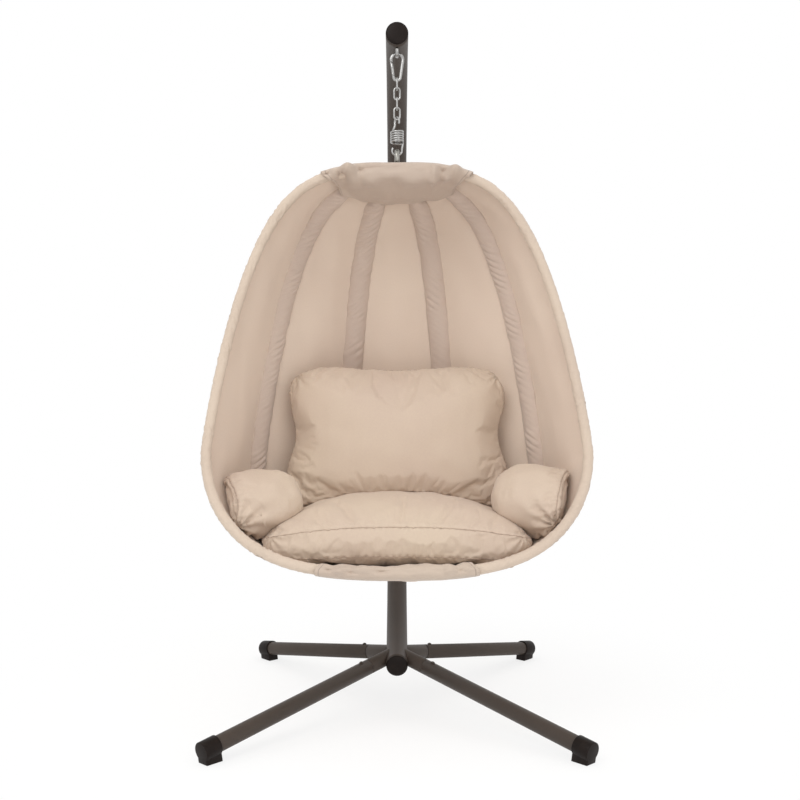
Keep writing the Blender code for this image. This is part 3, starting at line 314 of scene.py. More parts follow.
# Legs: four straight tubes in the same coat, pushed over the drawn-in ends of stubs that are welded to
# the lower post, each held by a round-head bolt. A moulded cap with a flat lug ends each leg on the floor.
leg_radius = 0.0185
leg_wall = 0.0016
leg_hub = on_crescent(pi - asin((legs_ahead + crescent_ahead) / crescent_radius))
stub_reach = 0.105
neck = 0.0025
leg_end_height = 0.029
cap_radius = 0.022
cap_grip = 0.032
cap_end = 0.010
lug_width = 0.031
lug_drop = 0.045
for corner in ("front_left", "front_right", "rear_left", "rear_right"):
    mount = next(m for m in frame["record"]["mounts"] if m["name"] == "foot_" + corner)
    leg_end = Vector((mount["pos_m"][0], mount["pos_m"][1], leg_end_height))
    run = (leg_end - leg_hub).normalized()
    length = (leg_end - leg_hub).length
    bm = turned([(leg_radius - neck, stub_reach + 0.03), (leg_radius - neck, stub_reach + 0.0005),
                 (leg_radius - 0.0008, stub_reach - 0.0006), (leg_radius, stub_reach - 0.002),
                 (leg_radius, 0.004)], leg_hub, run, 36)
    piece_of("leg_stub_tube_" + corner, bm, *coated, "leg_stub_" + corner)
    bm = turned([(leg_radius - leg_wall, stub_reach + 0.02), (leg_radius - leg_wall, stub_reach + 0.0012),
                 (leg_radius - 0.0006, stub_reach + 0.0008), (leg_radius, stub_reach + 0.0016),
                 (leg_radius, length)], leg_hub, run, 36)
    piece_of("leg_tube_" + corner, bm, *coated, "leg_" + corner)
    lift = (z_axis - run * run.z).normalized()
    dome_bolt("leg_joint_bolt_" + corner, leg_hub + run * (stub_reach + 0.022) + lift * leg_radius, lift,
              "leg_bolt_" + corner)
    bm = bmesh.new()
    across = run.cross(lift).normalized()
    lug_angle = asin(lug_width / 2 / cap_radius)
    start = leg_end - run * cap_grip
    first_corner, last_corner = (bm.verts.new(start + across * side * lug_width / 2 - lift * lug_drop)
                                 for side in (1, -1))
    first = bm.verts.new(start + across * lug_width / 2 - lift * cap_radius * cos(lug_angle))
    last = bmesh.ops.spin(bm, geom=[first], cent=start, axis=run, angle=-2 * (pi - lug_angle), steps=36,
                          use_merge=False)["geom_last"][0]
    for pair in ((first_corner, first), (last, last_corner), (last_corner, first_corner)):
        bm.edges.new(pair)
    profile = bmesh.ops.contextual_create(bm, geom=bm.edges[:])["faces"]
    solid = bmesh.ops.extrude_face_region(bm, geom=profile)["geom"]
    bmesh.ops.translate(bm, verts=[v for v in solid if isinstance(v, bmesh.types.BMVert)],
                        vec=run * (cap_grip + cap_end))
    bmesh.ops.recalc_face_normals(bm, faces=bm.faces)
    cut = bmesh.ops.bisect_plane(bm, geom=bm.verts[:] + bm.edges[:] + bm.faces[:], plane_co=(0, 0, 0.0002),
                                 plane_no=(0, 0, -1), clear_outer=True)["geom_cut"]
    bmesh.ops.holes_fill(bm, edges=[e for e in cut if isinstance(e, bmesh.types.BMEdge)], sides=0)
    bmesh.ops.recalc_face_normals(bm, faces=bm.faces)
    sharp = [e for e in bm.edges if len(e.link_faces) == 2 and e.calc_face_angle() > 0.6]
    bmesh.ops.bevel(bm, geom=sharp, offset=0.0016, affect="EDGES", segments=3, profile=0.5, material=-1)
    piece_of("foot_cap_" + corner, bm, brown_black, "stand", "black_plastic", "foot_" + corner)

# Hanger eye: a bent rod with both ends welded under the arm, right over the pod. It is bright zinc, a bare
# metal with a faint grain and a cloudy gloss.
eye_rod = 0.0035
eye_half = 0.0135


def zinc(name, colour, gloss):
    """Zinc plate of a colour and gloss."""
    return cloudy(name, colour, ((0.3, 0.82), (0.7, 1.0)), cloud=(160.0, 4.0), grain=(1500.0, 1.0),
                  gloss=(gloss * 0.8, gloss * 1.3), relief=(0.06, 0.0002), Metallic=1.0)


def close_wire(bm):
    """Joins what meets and caps what is open, with the faces turned outwards."""
    bmesh.ops.remove_doubles(bm, verts=bm.verts, dist=0.00002)
    bmesh.ops.holes_fill(bm, edges=[edge for edge in bm.edges if edge.is_boundary], sides=0)
    bmesh.ops.recalc_face_normals(bm, faces=bm.faces)


def bent_wire(place, heading, radius, moves, segments=18):
    """A wire from a place, drawn on by moves: a straight run, or a bend's centre, axis, angle and steps."""
    bm = bmesh.new()
    start = Matrix.Translation(place) @ z_axis.rotation_difference(heading).to_matrix().to_4x4()
    ring = bmesh.ops.create_circle(bm, segments=segments, radius=radius, matrix=start)["verts"]
    for move in moves:
        inside = set(ring)
        edges = list({edge for vert in ring for edge in vert.link_edges if edge.other_vert(vert) in inside})
        if isinstance(move, Vector):
            made = bmesh.ops.extrude_edge_only(bm, edges=edges)["geom"]
        else:
            centre, axis, angle, steps = move
            made = bmesh.ops.spin(bm, geom=ring + edges, cent=centre, axis=axis, angle=angle, steps=steps,
                                  use_merge=angle == 2 * pi)["geom_last"]
        ring = [vert for vert in made if isinstance(vert, bmesh.types.BMVert)]
        if isinstance(move, Vector):
            bmesh.ops.translate(bm, verts=ring, vec=move)
    close_wire(bm)
    return bm


def under_arm(y):
    """The height of the arm's underside at a distance behind the hanging axis."""
    reach = crescent_radius - post_radius
    return crescent_centre.z + sqrt(reach ** 2 - (hang.y + y - crescent_centre.y) ** 2)


zinc_plate = zinc("bright_zinc_plate", (0.43, 0.425, 0.415), 0.17)
eye_bow = hang + z_axis * eye_half
eye_top = Vector((0, hang.y + eye_half, under_arm(eye_half) + 0.001))
bm = bent_wire(eye_top, -z_axis, eye_rod, [z_axis * (eye_bow.z - eye_top.z), (eye_bow, x_axis, -pi, 20),
                                           z_axis * (under_arm(-eye_half) + 0.001 - eye_bow.z)])
piece_of("hanger_eye_rod", bm, zinc_plate, "stand", "zinc", "hanger_eye")

# Snap hook: bright wire bent to a pear shape, with its small end down, hooked into the hanger eye.
# A sprung gate closes its left side. It is forked over the wire's flat tongue and held by a riveted pin.
hook_wire = 0.00325
hook_length = 0.070
top_bow, low_bow = 0.01425, 0.00825
gate_radius = 0.0031
pin_up = 0.0062
hook_crown = hang + z_axis * (eye_rod + hook_wire + 0.0003)
top_centre = hook_crown - z_axis * top_bow
low_centre = hook_crown - z_axis * (hook_length - 2 * hook_wire - low_bow)
narrowing = asin((top_bow - low_bow) / (top_centre - low_centre).length)
left_out = Vector((-cos(narrowing), 0, -sin(narrowing)))
right_out = Vector((cos(narrowing), 0, -sin(narrowing)))
gate_low = low_centre + left_out * low_bow
gate_side = top_centre + left_out * top_bow - gate_low
gate_way = gate_side.normalized()
pin_place = gate_low + gate_way * pin_up
hook_start = pin_place - gate_way * (gate_radius + 0.0003)
bm = bent_wire(hook_start, -gate_way, hook_wire,
               [gate_low - hook_start, (low_centre, -y_axis, pi - 2 * narrowing, 20),
                top_centre + right_out * top_bow - low_centre - right_out * low_bow,
                (top_centre, -y_axis, pi + 2 * narrowing, 28), -gate_way * gate_radius])
gate_turn = z_axis.rotation_difference(gate_way).to_matrix().to_4x4()


def gate_block(bm, place, size, edge):
    """A block with eased edges, in line with the gate."""
    block = bmesh.ops.create_cube(bm, size=1, matrix=Matrix.Translation(place) @ gate_turn
                                  @ Matrix.Diagonal((*size, 1)))["verts"]
    edges = list({link for vert in block for link in vert.link_edges})
    bmesh.ops.bevel(bm, geom=edges, offset=edge, affect="EDGES", segments=2, profile=0.5, material=-1)


gate_block(bm, pin_place - gate_way * 0.0012, (0.0054, 0.0024, 0.0092), 0.0005)
piece_of("snap_hook_wire", bm, zinc_plate, "snap_hook", "zinc", "snap_hook")
bm = turned([(0, 0.0037), (0.0011, 0.0035), (0.0015, 0.0031), (0.0010, 0.0030), (0.0010, -0.0030),
             (0.0015, -0.0031), (0.0011, -0.0035), (0, -0.0037)], pin_place, y_axis, 20)
piece_of("gate_rivet", bm, zinc_plate, "snap_hook", "zinc", "gate_pin")

gate_length = gate_side.length - pin_up - gate_radius - 0.0006
bm = turned([(0, gate_length), (gate_radius - 0.0008, gate_length), (gate_radius, gate_length - 0.0008),
             (gate_radius, 0.0048), (gate_radius - 0.0006, 0.0042), (0, 0.0042)], pin_place, gate_way, 28)
for side in (-1, 1):
    gate_block(bm, pin_place + y_axis * side * 0.0022 + gate_way * 0.0016, (0.0046, 0.0014, 0.0064), 0.0004)
piece_of("snap_gate_bar", bm, zinc_plate, "snap_gate", "zinc", "snap_gate")

# Chain: four welded links of bright wire, each turned a quarter from the last.
# It hangs from the small end of the hook and carries the spring.
link_wire = 0.0021
link_length = 0.0325
link_bow = 0.0069
hung_on = hook_wire
joint_of = {joint["child"]: Vector(joint["pos_m"]) for joint in frame["joints"] if "pos_m" in joint}
for number in range(1, 5):
    across, axis = (y_axis, x_axis) if number % 2 else (x_axis, -y_axis)
    crown = joint_of[f"link_{number}"] + z_axis * (hung_on + link_wire + 0.0003)
    high = crown - z_axis * link_bow
    low = crown - z_axis * (link_length - 2 * link_wire - link_bow)
    bm = bent_wire(high + across * link_bow, z_axis, link_wire,
                   [(high, axis, pi, 14), low - high, (low, axis, pi, 14), high - low], 14)
    piece_of(f"chain_wire_{number}", bm, zinc_plate, f"link_{number}", "zinc", f"chain_link_{number}")
    hung_on = link_wire

# Spring: close-wound bright wire with a small turned loop above and a larger open hook below.
# Its top hangs on the chain and the chair hangs from its lower hook.
spring_wire = 0.00245
coil_radius = 0.01405
coil_pitch = 0.0055
top_neck, bottom_neck = 0.0347, 0.0318
top_loop, low_loop = 0.01055, 0.01155
loop_turn = radians(60)
coil_turns = 5 + (pi - loop_turn) / (2 * pi)
spring_crown = joint_of["spring"] + z_axis * (link_wire + spring_wire + 0.0003)
coil_top = spring_crown - z_axis * (top_neck - spring_wire)
coil_low = coil_top - z_axis * coil_turns * coil_pitch
spring_sole = coil_low - z_axis * (bottom_neck - spring_wire)


def eased(start, leave, end, arrive, count):
    """Places on a smooth bend of the wire, leaving and arriving along given ways."""
    shares = [i / count for i in range(1, count)]
    return [start * (2 * t ** 3 - 3 * t ** 2 + 1) + leave * (t ** 3 - 2 * t ** 2 + t)
            + end * (3 * t ** 2 - 2 * t ** 3) + arrive * (t ** 3 - t ** 2) for t in shares]


def loop_arc(centre, across, up, radius, start, end, count):
    """Places on a loop of the wire, by angle from across towards up."""
    angles = [radians(start + (end - start) * i / count) for i in range(count + 1)]
    return [centre + (across * cos(a) + up * sin(a)) * radius for a in angles]


def wire_along(routes, radius, roundness, closed):
    """Wires of a radius along routes of places."""
    line = bpy.data.curves.new("line", "CURVE")
    line.dimensions = "3D"
    line.bevel_depth = radius
    line.bevel_resolution = roundness
    line.use_fill_caps = not closed
    for route in routes:
        spline = line.splines.new("POLY")
        spline.use_cyclic_u = closed
        spline.points.add(len(route) - 1)
        for point, place in zip(spline.points, route):
            point.co = (*place, 1)
    carrier = bpy.data.objects.new("line", line)
    bm = bmesh.new()
    bm.from_mesh(carrier.to_mesh())
    bpy.data.objects.remove(carrier)
    return bm


coil = [coil_low + Vector((cos(turn) * coil_radius, sin(turn) * coil_radius, turn / (2 * pi) * coil_pitch))
        for turn in np.linspace(0, coil_turns * 2 * pi, 160)]
low_hook = loop_arc(spring_sole + z_axis * low_loop, x_axis, -z_axis, low_loop, 0, 215, 26)
loop_across = Vector((-cos(loop_turn), sin(loop_turn), 0))
high_hook = loop_arc(spring_crown - z_axis * top_loop, loop_across, z_axis, top_loop, -20, 215, 28)
wire_route = low_hook[::-1]
wire_route += eased(low_hook[0], z_axis * 0.012, coil[0], (coil[1] - coil[0]).normalized() * 0.020, 12)
wire_route += coil
wire_route += eased(coil[-1], (coil[-1] - coil[-2]).normalized() * 0.020, high_hook[0],
                    (high_hook[1] - high_hook[0]).normalized() * 0.016, 12) + high_hook
bm = wire_along([wire_route], spring_wire, 3, False)
close_wire(bm)
spring = piece_of("spring_coil", bm, zinc_plate, None, "zinc", "spring")
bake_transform(spring)

# Eye bolt: a forged ring on a collar, in dull zinc. It goes down through the upper hub, where a washer and
# a nut hold it. The pod hangs on it, with its axis leaning back.
ring_rod = 0.006
ring_bow = 0.017
stem = 0.024
hub_half = 0.010
lean = radians(15.5)
down = Vector((0, -sin(lean), -cos(lean)))
back = Vector((0, cos(lean), -sin(lean)))
ring_centre = Vector((0, hang.y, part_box("eye_bolt")[1].z - ring_bow - ring_rod))
dull_zinc = zinc("dull_zinc_plate", (0.36, 0.35, 0.32), 0.36)
bm = bent_wire(ring_centre + y_axis * ring_bow, z_axis, ring_rod, [(ring_centre, x_axis, 2 * pi, 44)], 22)
turned([(0, ring_bow), (0.0088, ring_bow + 0.001), (0.0100, ring_bow + 0.003), (0.0128, stem - 0.0020),
        (0.0130, stem - 0.0003), (0.006, stem - 0.0003), (0.006, stem + 0.032), (0, stem + 0.032)],
       ring_centre, down, 36, bm)
piece_of("eye_bolt_ring", bm, dull_zinc, "chair", "steel", "eye_bolt")
for name, metal in (("top_hub", dull_zinc), ("bottom_hub", dull_zinc), ("eye_washer", zinc_plate),
                    ("eye_nut", zinc_plate)):
    frame["nodes"][name].data.materials.clear()
    frame["nodes"][name].data.materials.append(metal)

# Pod frame: six bent tubes, evenly spread over the half turn and plugged into the two hubs.
# The cover hides them, and all cloth of the pod follows their line.
pole_count = 6
pitch = pi / (pole_count - 1)
pole_radius = 0.008
pod_length = 0.955
pod_radius = 0.4275
pod_widest = 0.685
pod_top = ring_centre + down * (stem + hub_half)
pod_sole = pod_top + down * pod_length
quarter = np.linspace(0, 1, 1500) ** 2 * pi / 2
upper = np.stack([pod_widest * (1 - np.cos(quarter) ** (2 / 1.2)),
                  pod_radius * np.sin(quarter) ** (2 / 4.0)], axis=1)
lower = np.stack([pod_widest + (pod_length - pod_widest) * np.cos(quarter) ** (2 / 2.0),
                  pod_radius * np.sin(quarter) ** (2 / 3.2)], axis=1)
pole = np.vstack([upper, lower[-2::-1]])[2:-2]
way = np.gradient(pole, axis=0)
way /= np.linalg.norm(way, axis=1)[:, None]
pole = np.column_stack([pole, -way[:, 1], way[:, 0]])
pole_run = np.concatenate([[0], np.cumsum(np.linalg.norm(np.diff(pole[:, :2], axis=0), axis=1))])
pole_half = int(pole[:, 1].argmax())


def pole_ends(start):
    """How far along the tube's line a distance to the pod's axis comes first, above, and last, below."""
    first = np.interp(start, pole[:pole_half, 1], pole_run[:pole_half])
    last = np.interp(start, pole[:pole_half:-1, 1], pole_run[:pole_half:-1])
    return float(first), float(last)


@lru_cache(maxsize=None)
def on_pole(share, start):
    """A place on a tube: drop, distance from the pod's axis, and the outward way.
    Share counts along the tube, from a distance to the axis above to the same distance below."""
    first, last = pole_ends(start)
    at = first + (last - first) * share
    return tuple(float(np.interp(at, pole_run, column)) for column in pole.T)


def pole_span(start):
    """The length along the tube between those two places."""
    first, last = pole_ends(start)
    return last - first


def pole_at(radius, low):
    """The place on the upper or the lower half of a tube at a distance from the axis."""
    half = pole[:pole_half:-1] if low else pole[:pole_half]
    return [float(np.interp(radius, half[:, 1], column)) for column in half.T]


def pod_point(station, azimuth, out=0.0, aside=0.0):
    """A place on the pod, from a place on the tube with that azimuth, moved outward and aside."""
    drop, radius, out_drop, out_radius = station
    radial = x_axis * cos(azimuth) + back * sin(azimuth)
    tangent = back * cos(azimuth) - x_axis * sin(azimuth)
    return pod_top + down * (drop + out * out_drop) + radial * (radius + out * out_radius) + tangent * aside


pole_names = ("rim_pole_right", "rib_pole_1", "rib_pole_2", "rib_pole_3", "rib_pole_4", "rim_pole_left")
pole_start = 0.036
for number, name in enumerate(pole_names):
    bm = bmesh.new()
    bmesh.ops.create_grid(bm, x_segments=14, y_segments=150, size=0.5)
    for vert in bm.verts:
        turn = (vert.co.x + 0.5) * 2 * pi
        vert.co = pod_point(on_pole(vert.co.y + 0.5, pole_start), number * pitch, pole_radius * cos(turn),
                            pole_radius * sin(turn))
    close_wire(bm)
    piece_of(name + "_tube", bm, taupe_coat, "chair", "powder_coat", name)

# Cover panels: five lengths of beige woven polyester, sewn together over the ribs and stretched round them.
# The cloth draws in a little between the ribs and puckers along its seams.
panel_start = 0.054
panel_sag = 0.008
cloth = 0.0015
rim_cloth_radius = 0.011
cover_seat = pole_radius + 0.0009


def woven(name, colour, tint, thread=0.0011, on_uv=True, hem=None):
    """Woven polyester: threads, soft clouds of tint, a slight sheen, and a stitch line along the hems."""
    canvas, tree, places = bare_material(name)
    spot = places["UV" if on_uv else "Object"]
    cloud = node(tree, "TexNoise", {"Vector": places["Object"], "Scale": 3.2, "Detail": 3.0})
    slub = node(tree, "TexNoise", {"Vector": spot, "Scale": 260.0, "Detail": 3.0})
    tone = node(tree, "Mix", {"Factor": 0.30, "A": cloud, "B": slub})
    base = two_tone(tree, tone, 0.36, tint, 0.64, colour)
    wave = {"Vector": spot, "Scale": 0.05 * 2 * pi / thread, "Distortion": 0.6, "Detail": 1.0}
    warp, weft = (node(tree, "TexWave", wave, bands_direction=way).outputs["Fac"]
                  for way in ("X", "Y" if on_uv else "Z"))
    threads = node(tree, "Math", {0: warp, 1: weft}, operation="ADD")
    height = node(tree, "Math", {0: threads, 1: slub}, operation="ADD")
    relief = node(tree, "Bump", {"Height": height, "Strength": 0.25, "Distance": 0.0003})
    gloss = node(tree, "MapRange", {"Value": slub, "To Min": 0.78, "To Max": 0.95})
    if hem:
        half_width, fold = hem
        middle = node(tree, "Math", {0: node(tree, "SeparateXYZ", {0: places["UV"]}), 1: half_width},
                      operation="SUBTRACT")
        away = node(tree, "Math", {0: middle}, operation="ABSOLUTE")
        stitch = node(tree, "Math", {0: away, 1: half_width - fold, 2: 0.0010}, operation="COMPARE")
        base = node(tree, "Mix", {"Factor": stitch, "A": base, "B": (*toned(tint, 0.72), 1)},
                    data_type="RGBA").outputs["Result"]
    return shaded(canvas, base, gloss, relief, Sheen_Weight=0.25, Sheen_Roughness=0.5, Specular_IOR_Level=0.2)


def cloth_grid(columns, rows, size, place, *which):
    """A sheet of cloth: a grid whose points go to their places, with its weave laid out in metres."""
    bm = bmesh.new()
    bm.loops.layers.uv.new("weave")
    bmesh.ops.create_grid(bm, x_segments=columns, y_segments=rows, size=0.5, calc_uvs=True)
    weave = bm.loops.layers.uv["weave"]
    for face in bm.faces:
        for loop in face.loops:
            loop[weave].uv = ((loop.vert.co.x + 0.5) * size[0], (loop.vert.co.y + 0.5) * size[1])
    for vert in bm.verts:
        vert.co = place(*which, vert.co.x + 0.5, vert.co.y + 0.5)
    return bm


def sewn(name, bm, material, slot, cut, area, held, rests_on, thickness, *nodes):
    """A finished cloth piece of the pod: it gets its thickness. Its cut is not used."""
    bmesh.ops.recalc_face_normals(bm, faces=bm.faces)
    piece = piece_of(name, bm, material, "chair", slot, *nodes)
    wall = piece.modifiers.new("cloth", "SOLIDIFY")
    wall.thickness = thickness
    wall.offset = 0


def ripple(spot, size):
    """A smooth random swell from -1 to 1, with humps of about that size."""
    return noise.noise(Vector(spot) / size)


def rise(low, high, value):
    """Goes smoothly from 0 at the low value to 1 at the high one."""
    share = min(1.0, max(0.0, (value - low) / (high - low)))
    return share * share * (3 - 2 * share)


beige_canvas = woven("beige_canvas", (0.75, 0.625, 0.52), (0.70, 0.57, 0.475))
panel_names = ("right", "back_right", "back", "back_left", "left")
panel_length = pole_span(panel_start)
panel_chords = [2 * sin(pitch / 2) * (on_pole(share, panel_start)[1] + cover_seat)
                for share in np.linspace(0, 1, 400)]
panel_cut = (max(panel_chords), panel_length)
panel_area = panel_length * sum(panel_chords) / len(panel_chords)


def panel_place(number, across, along):
    """Where a spot of a panel lies."""
    station = on_pole(along, panel_start)
    edges = []
    for pole_number, side in ((number, 1), (number + 1, -1)):
        at_rim = pole_number in (0, pole_count - 1)
        out = (rim_cloth_radius + 0.0004) * cos(pitch / 2) if at_rim else cover_seat + 0.0006
        aside = side * rim_cloth_radius * sin(pitch / 2) if at_rim else 0.0
        edges.append(pod_point(station, pole_number * pitch, out, aside))
    middle = (number + 0.5) * pitch
    outward = (pod_point(station, middle, 1.0) - pod_point(station, middle)).normalized()
    sag = panel_sag * station[1] / pod_radius * sin(pi * across) ** 2
    width = (edges[1] - edges[0]).length
    from_seam = min(across, 1 - across) * width
    seam_side = 1 if across < 0.5 else 2
    pucker = exp(-from_seam / 0.022) * (1 - exp(-from_seam / 0.004))
    tight = ripple((along * panel_length, seam_side * 3.7 + number, from_seam * 0.2), 0.0145)
    swell = ripple((across * width, along * panel_length * 0.49 + across * 0.05, number), 0.07)
    swell *= sin(pi * across)
    return edges[0].lerp(edges[1], across) + outward * (-sag + 0.0036 * pucker * tight + 0.0065 * swell)


for number, name in enumerate(panel_names):
    bm = cloth_grid(44, 170, panel_cut, panel_place, number)
    sewn("cover_cloth_" + name, bm, beige_canvas, "canvas", panel_cut, panel_area, "stretched",
         pole_names[number:number + 2], cloth, "cover_panel_" + name)

# Rim sleeves: the cover's edge, of the same cloth, rolled round the two rim tubes and sewn.
# The pull of the seam twists it into fine slanting creases. Its colour is the cover cloth darkened: painted shade.
sleeve_start = 0.051
sleeve_length = pole_span(sleeve_start)
sleeve_cloth = 0.0012
sleeve_lap = 0.003
sleeve_fullness = 1.02
sleeve_cut = (2 * pi * rim_cloth_radius + sleeve_lap, sleeve_length * sleeve_fullness)
# The sleeves' colours are the cover cloth's, darkened as painted shade.
shade_darkened_rim_canvas = woven("shade_darkened_rim_canvas", (0.64, 0.53, 0.43), (0.58, 0.47, 0.385))


def sleeve_place(azimuth, hand, across, along):
    """Where a spot of a sleeve lies."""
    turn = across * 2 * pi
    slant = along * sleeve_length + hand * across * 0.036
    crease = ripple((slant, cos(turn) * 0.0145, sin(turn) * 0.0145), 0.008)
    coarse = ripple((along * sleeve_length, azimuth, 0), 0.065)
    radius = rim_cloth_radius * (1 + 0.24 * crease * (0.4 + 1.6 * abs(coarse)))
    return pod_point(on_pole(along, sleeve_start), azimuth, radius * cos(turn), radius * sin(turn))


for name, azimuth, hand in (("right", 0.0, 1), ("left", pi, -1)):
    bm = cloth_grid(22, 420, sleeve_cut, sleeve_place, azimuth, hand)
    bmesh.ops.remove_doubles(bm, verts=bm.verts, dist=0.00005)
    sewn("rim_roll_" + name, bm, shade_darkened_rim_canvas, "canvas", sleeve_cut, sleeve_cut[0] * sleeve_cut[1], "gathered",
         ["rim_pole_" + name], sleeve_cloth, "rim_sleeve_" + name)

# Rib strips: greyer cloth tapes sewn over the ribs inside the pod. They are cut long and drawn up on their
# seams, so they lie in slanting tucks.
strip_start = 0.085
strip_width = 0.056
strip_full_at = 0.19
strip_length = pole_span(strip_start)
strip_fullness = 1.09
strip_cut = (0.063, strip_length * strip_fullness)
strip_taper = [min(1, on_pole(share, strip_start)[1] / strip_full_at) for share in np.linspace(0, 1, 400)]
strip_area = strip_cut[0] * strip_cut[1] * sum(strip_taper) / len(strip_taper)
strip_cloth = 0.0010
tuck_pitch = 0.0177
tuck_depth = 0.0038
mauve_canvas = woven("mauve_canvas", (0.62, 0.505, 0.43), (0.565, 0.455, 0.39))


def strip_place(number, across, along):
    """Where a spot of a strip lies."""
    station = on_pole(along, strip_start)
    share = 2 * across - 1
    width = strip_width * min(1, station[1] / strip_full_at)
    hem = cover_seat - width / 2 * tan(pitch / 2) * station[3] + 0.0006
    crest = -(pole_radius + 0.0036)
    arch = hem + (crest - hem) * (1 - share ** 2) ** 0.9
    run = along * strip_length
    slant = run + (1 if number < 3 else -1) * share * 0.023
    tuck = abs(sin(pi * (slant / tuck_pitch + 0.9 * ripple((slant, number * 2.3, 0), 0.088)))) ** 0.7
    drawn_up = 0.25 + 0.75 * rise(-0.2, 0.3, ripple((run, number * 7.7, share * 0.014), 0.061))
    edge = 0.0040 * share ** 2 * ripple((run, number + copysign(3, share), 2.0), 0.027)
    out = arch - tuck_depth * tuck * drawn_up * (1 - share ** 6)
    return pod_point(station, number * pitch, out, share * width / 2 + edge)


for number in range(1, pole_count - 1):
    bm = cloth_grid(24, 760, strip_cut, strip_place, number)
    sewn(f"rib_tape_{number}", bm, mauve_canvas, "strip_canvas", strip_cut, strip_area, "gathered",
         [f"rib_pole_{number}"], strip_cloth, f"rib_strip_{number}")

# Hub flaps: a wide hemmed piece of the same cloth is wrapped over the rim at each hub, from outside to in.
# It is gathered at its ends and falls into soft folds. The eye bolt comes up through a slit in the top one.
# Its colour is the cover cloth darkened: painted shade.
flap_half = 0.178
flap_ahead = 0.027
flap_outside = 0.060
flap_inside = 0.140
flap_round = 0.0128
hem_fold = 0.009
flap_cut = (2 * flap_half, 0.30)
flap_wrap = 0.36
flap_oval = 0.75
# The flap's colours are the cover cloth's, darkened as painted shade; the stitch line along its hems is real.
shade_darkened_flap_canvas = woven("shade_darkened_flap_canvas", (0.555, 0.457, 0.374), (0.50, 0.398, 0.333),
                    hem=(flap_half, hem_fold))


def through(values, share):
    """A smooth line through evenly spread values."""
    fine = np.interp(np.linspace(0, 1, 241), np.linspace(0, 1, len(values)), values)
    smooth = np.convolve(np.pad(fine, 9, mode="edge"), np.ones(19) / 19, "valid")
    return float(np.interp(share, np.linspace(0, 1, 241), smooth))


wrap_behind = [flap_outside, flap_outside * 0.5, 0, -flap_ahead * 0.62, -flap_ahead * 0.96, -flap_ahead,
               -flap_ahead * 0.92, -flap_ahead * 0.45, flap_inside * 0.15, flap_inside * 0.45,
               flap_inside * 0.75, flap_inside]
wrap_height = [0.62, 0.84, 1.05, 0.95, 0.5, -0.05, -0.55, -0.97, -1.05, -0.92, -0.75, -0.6]
top_rounds, low_rounds = (0.0175, 0.0270), (0.0155, 0.0155)

# Each fold of a flap is a hump or a dent: its middle across and along, its width, length and height.
top_folds = ((-0.66, 0.44, 0.09, 0.16, 0.021), (-0.86, 0.50, 0.06, 0.14, 0.012),
             (-0.50, 0.50, 0.05, 0.20, -0.011), (-0.78, 0.60, 0.05, 0.09, -0.013),
             (-0.92, 0.40, 0.04, 0.12, -0.008), (0.50, 0.55, 0.05, 0.17, 0.012),
             (0.63, 0.50, 0.05, 0.18, -0.013), (0.78, 0.43, 0.09, 0.16, 0.020),
             (0.70, 0.64, 0.06, 0.08, 0.009), (-0.10, 0.56, 0.25, 0.10, -0.008),
             (0.20, 0.66, 0.12, 0.07, 0.006), (-0.35, 0.66, 0.10, 0.07, 0.007))
low_folds = ((-0.70, 0.46, 0.07, 0.16, 0.010), (-0.83, 0.46, 0.05, 0.16, -0.008),
             (-0.57, 0.40, 0.05, 0.14, -0.007), (-0.38, 0.50, 0.12, 0.12, 0.008),
             (-0.20, 0.46, 0.08, 0.12, -0.005), (0.64, 0.48, 0.07, 0.16, 0.009),
             (0.77, 0.46, 0.05, 0.18, -0.008), (0.25, 0.48, 0.14, 0.12, 0.007),
             (0.89, 0.46, 0.05, 0.14, 0.005))


def flap_place(low, across, along):
    """Where a spot of a flap lies."""
    share = 2 * across - 1
    height = through(wrap_height, along)
    behind = through(wrap_behind, along)
    behind *= 1 - share ** 2 * (0.50 if behind > 0 else 0.30)
    over = abs(height)
    middle_round = (low_rounds if low else top_rounds)[height < 0]
    puff = flap_round + (middle_round - flap_round) * (1 - rise(0.5, 0.8, abs(share)))
    run = along * flap_wrap
    x = share * flap_half
    swell = 0.0070 * ripple((x, run, 3.0 + low), 0.06)
    swell += 0.0030 * ripple((x, run * 0.6, 8.0 + low), 0.026)
    for fold_share, fold_along, fold_width, fold_length, fold_height in low_folds if low else top_folds:
        away = ((share - fold_share) / fold_width) ** 2 + ((along - fold_along) / fold_length) ** 2
        swell += fold_height * exp(-away)
    free = min(1.0, along / 0.12, (1 - along) / 0.10)
    swell *= free * (1 - 0.85 * rise(0.0, 0.7, height))
    ahead = rise(0.12, 0.36, along) * (1 - rise(0.48, 0.70, along))
    hem = rise(0.80, 1.0, along) * 0.010 * ripple((x, low * 4.0, 1.0), 0.05)
    spot_behind = behind - swell * ahead * (1 - over ** 2) + hem
    edge = pole_radius + (0.0042 if along < 0.5 else 0.0075)
    out = copysign(edge + (over * puff + swell * over - edge) * free, height)
    x *= 1 - 0.20 * rise(0.38, 1.0, along) * share ** 2
    station = pole_at(hypot(x, spot_behind), low)
    return pod_point(station, atan2(spot_behind, x), out)


def over_stem(face):
    """Whether a face of the top flap lies where the eye bolt's stem comes through."""
    middle = face.calc_center_median()
    return (abs(middle.x) < 0.0145 and abs((middle - ring_centre).dot(back)) < 0.019
            and (middle - pod_top).dot(down) < 0.0)


for name, low in (("top", False), ("bottom", True)):
    bm = cloth_grid(110, 120, (2 * flap_half, flap_wrap), flap_place, low)
    if not low:
        bmesh.ops.delete(bm, geom=[face for face in bm.faces if over_stem(face)], context="FACES")
    sewn(name + "_flap_cloth", bm, shade_darkened_flap_canvas, "canvas", flap_cut, flap_cut[0] * flap_cut[1] * flap_oval,
         "gathered", [name + "_hub"], cloth, name + "_flap")

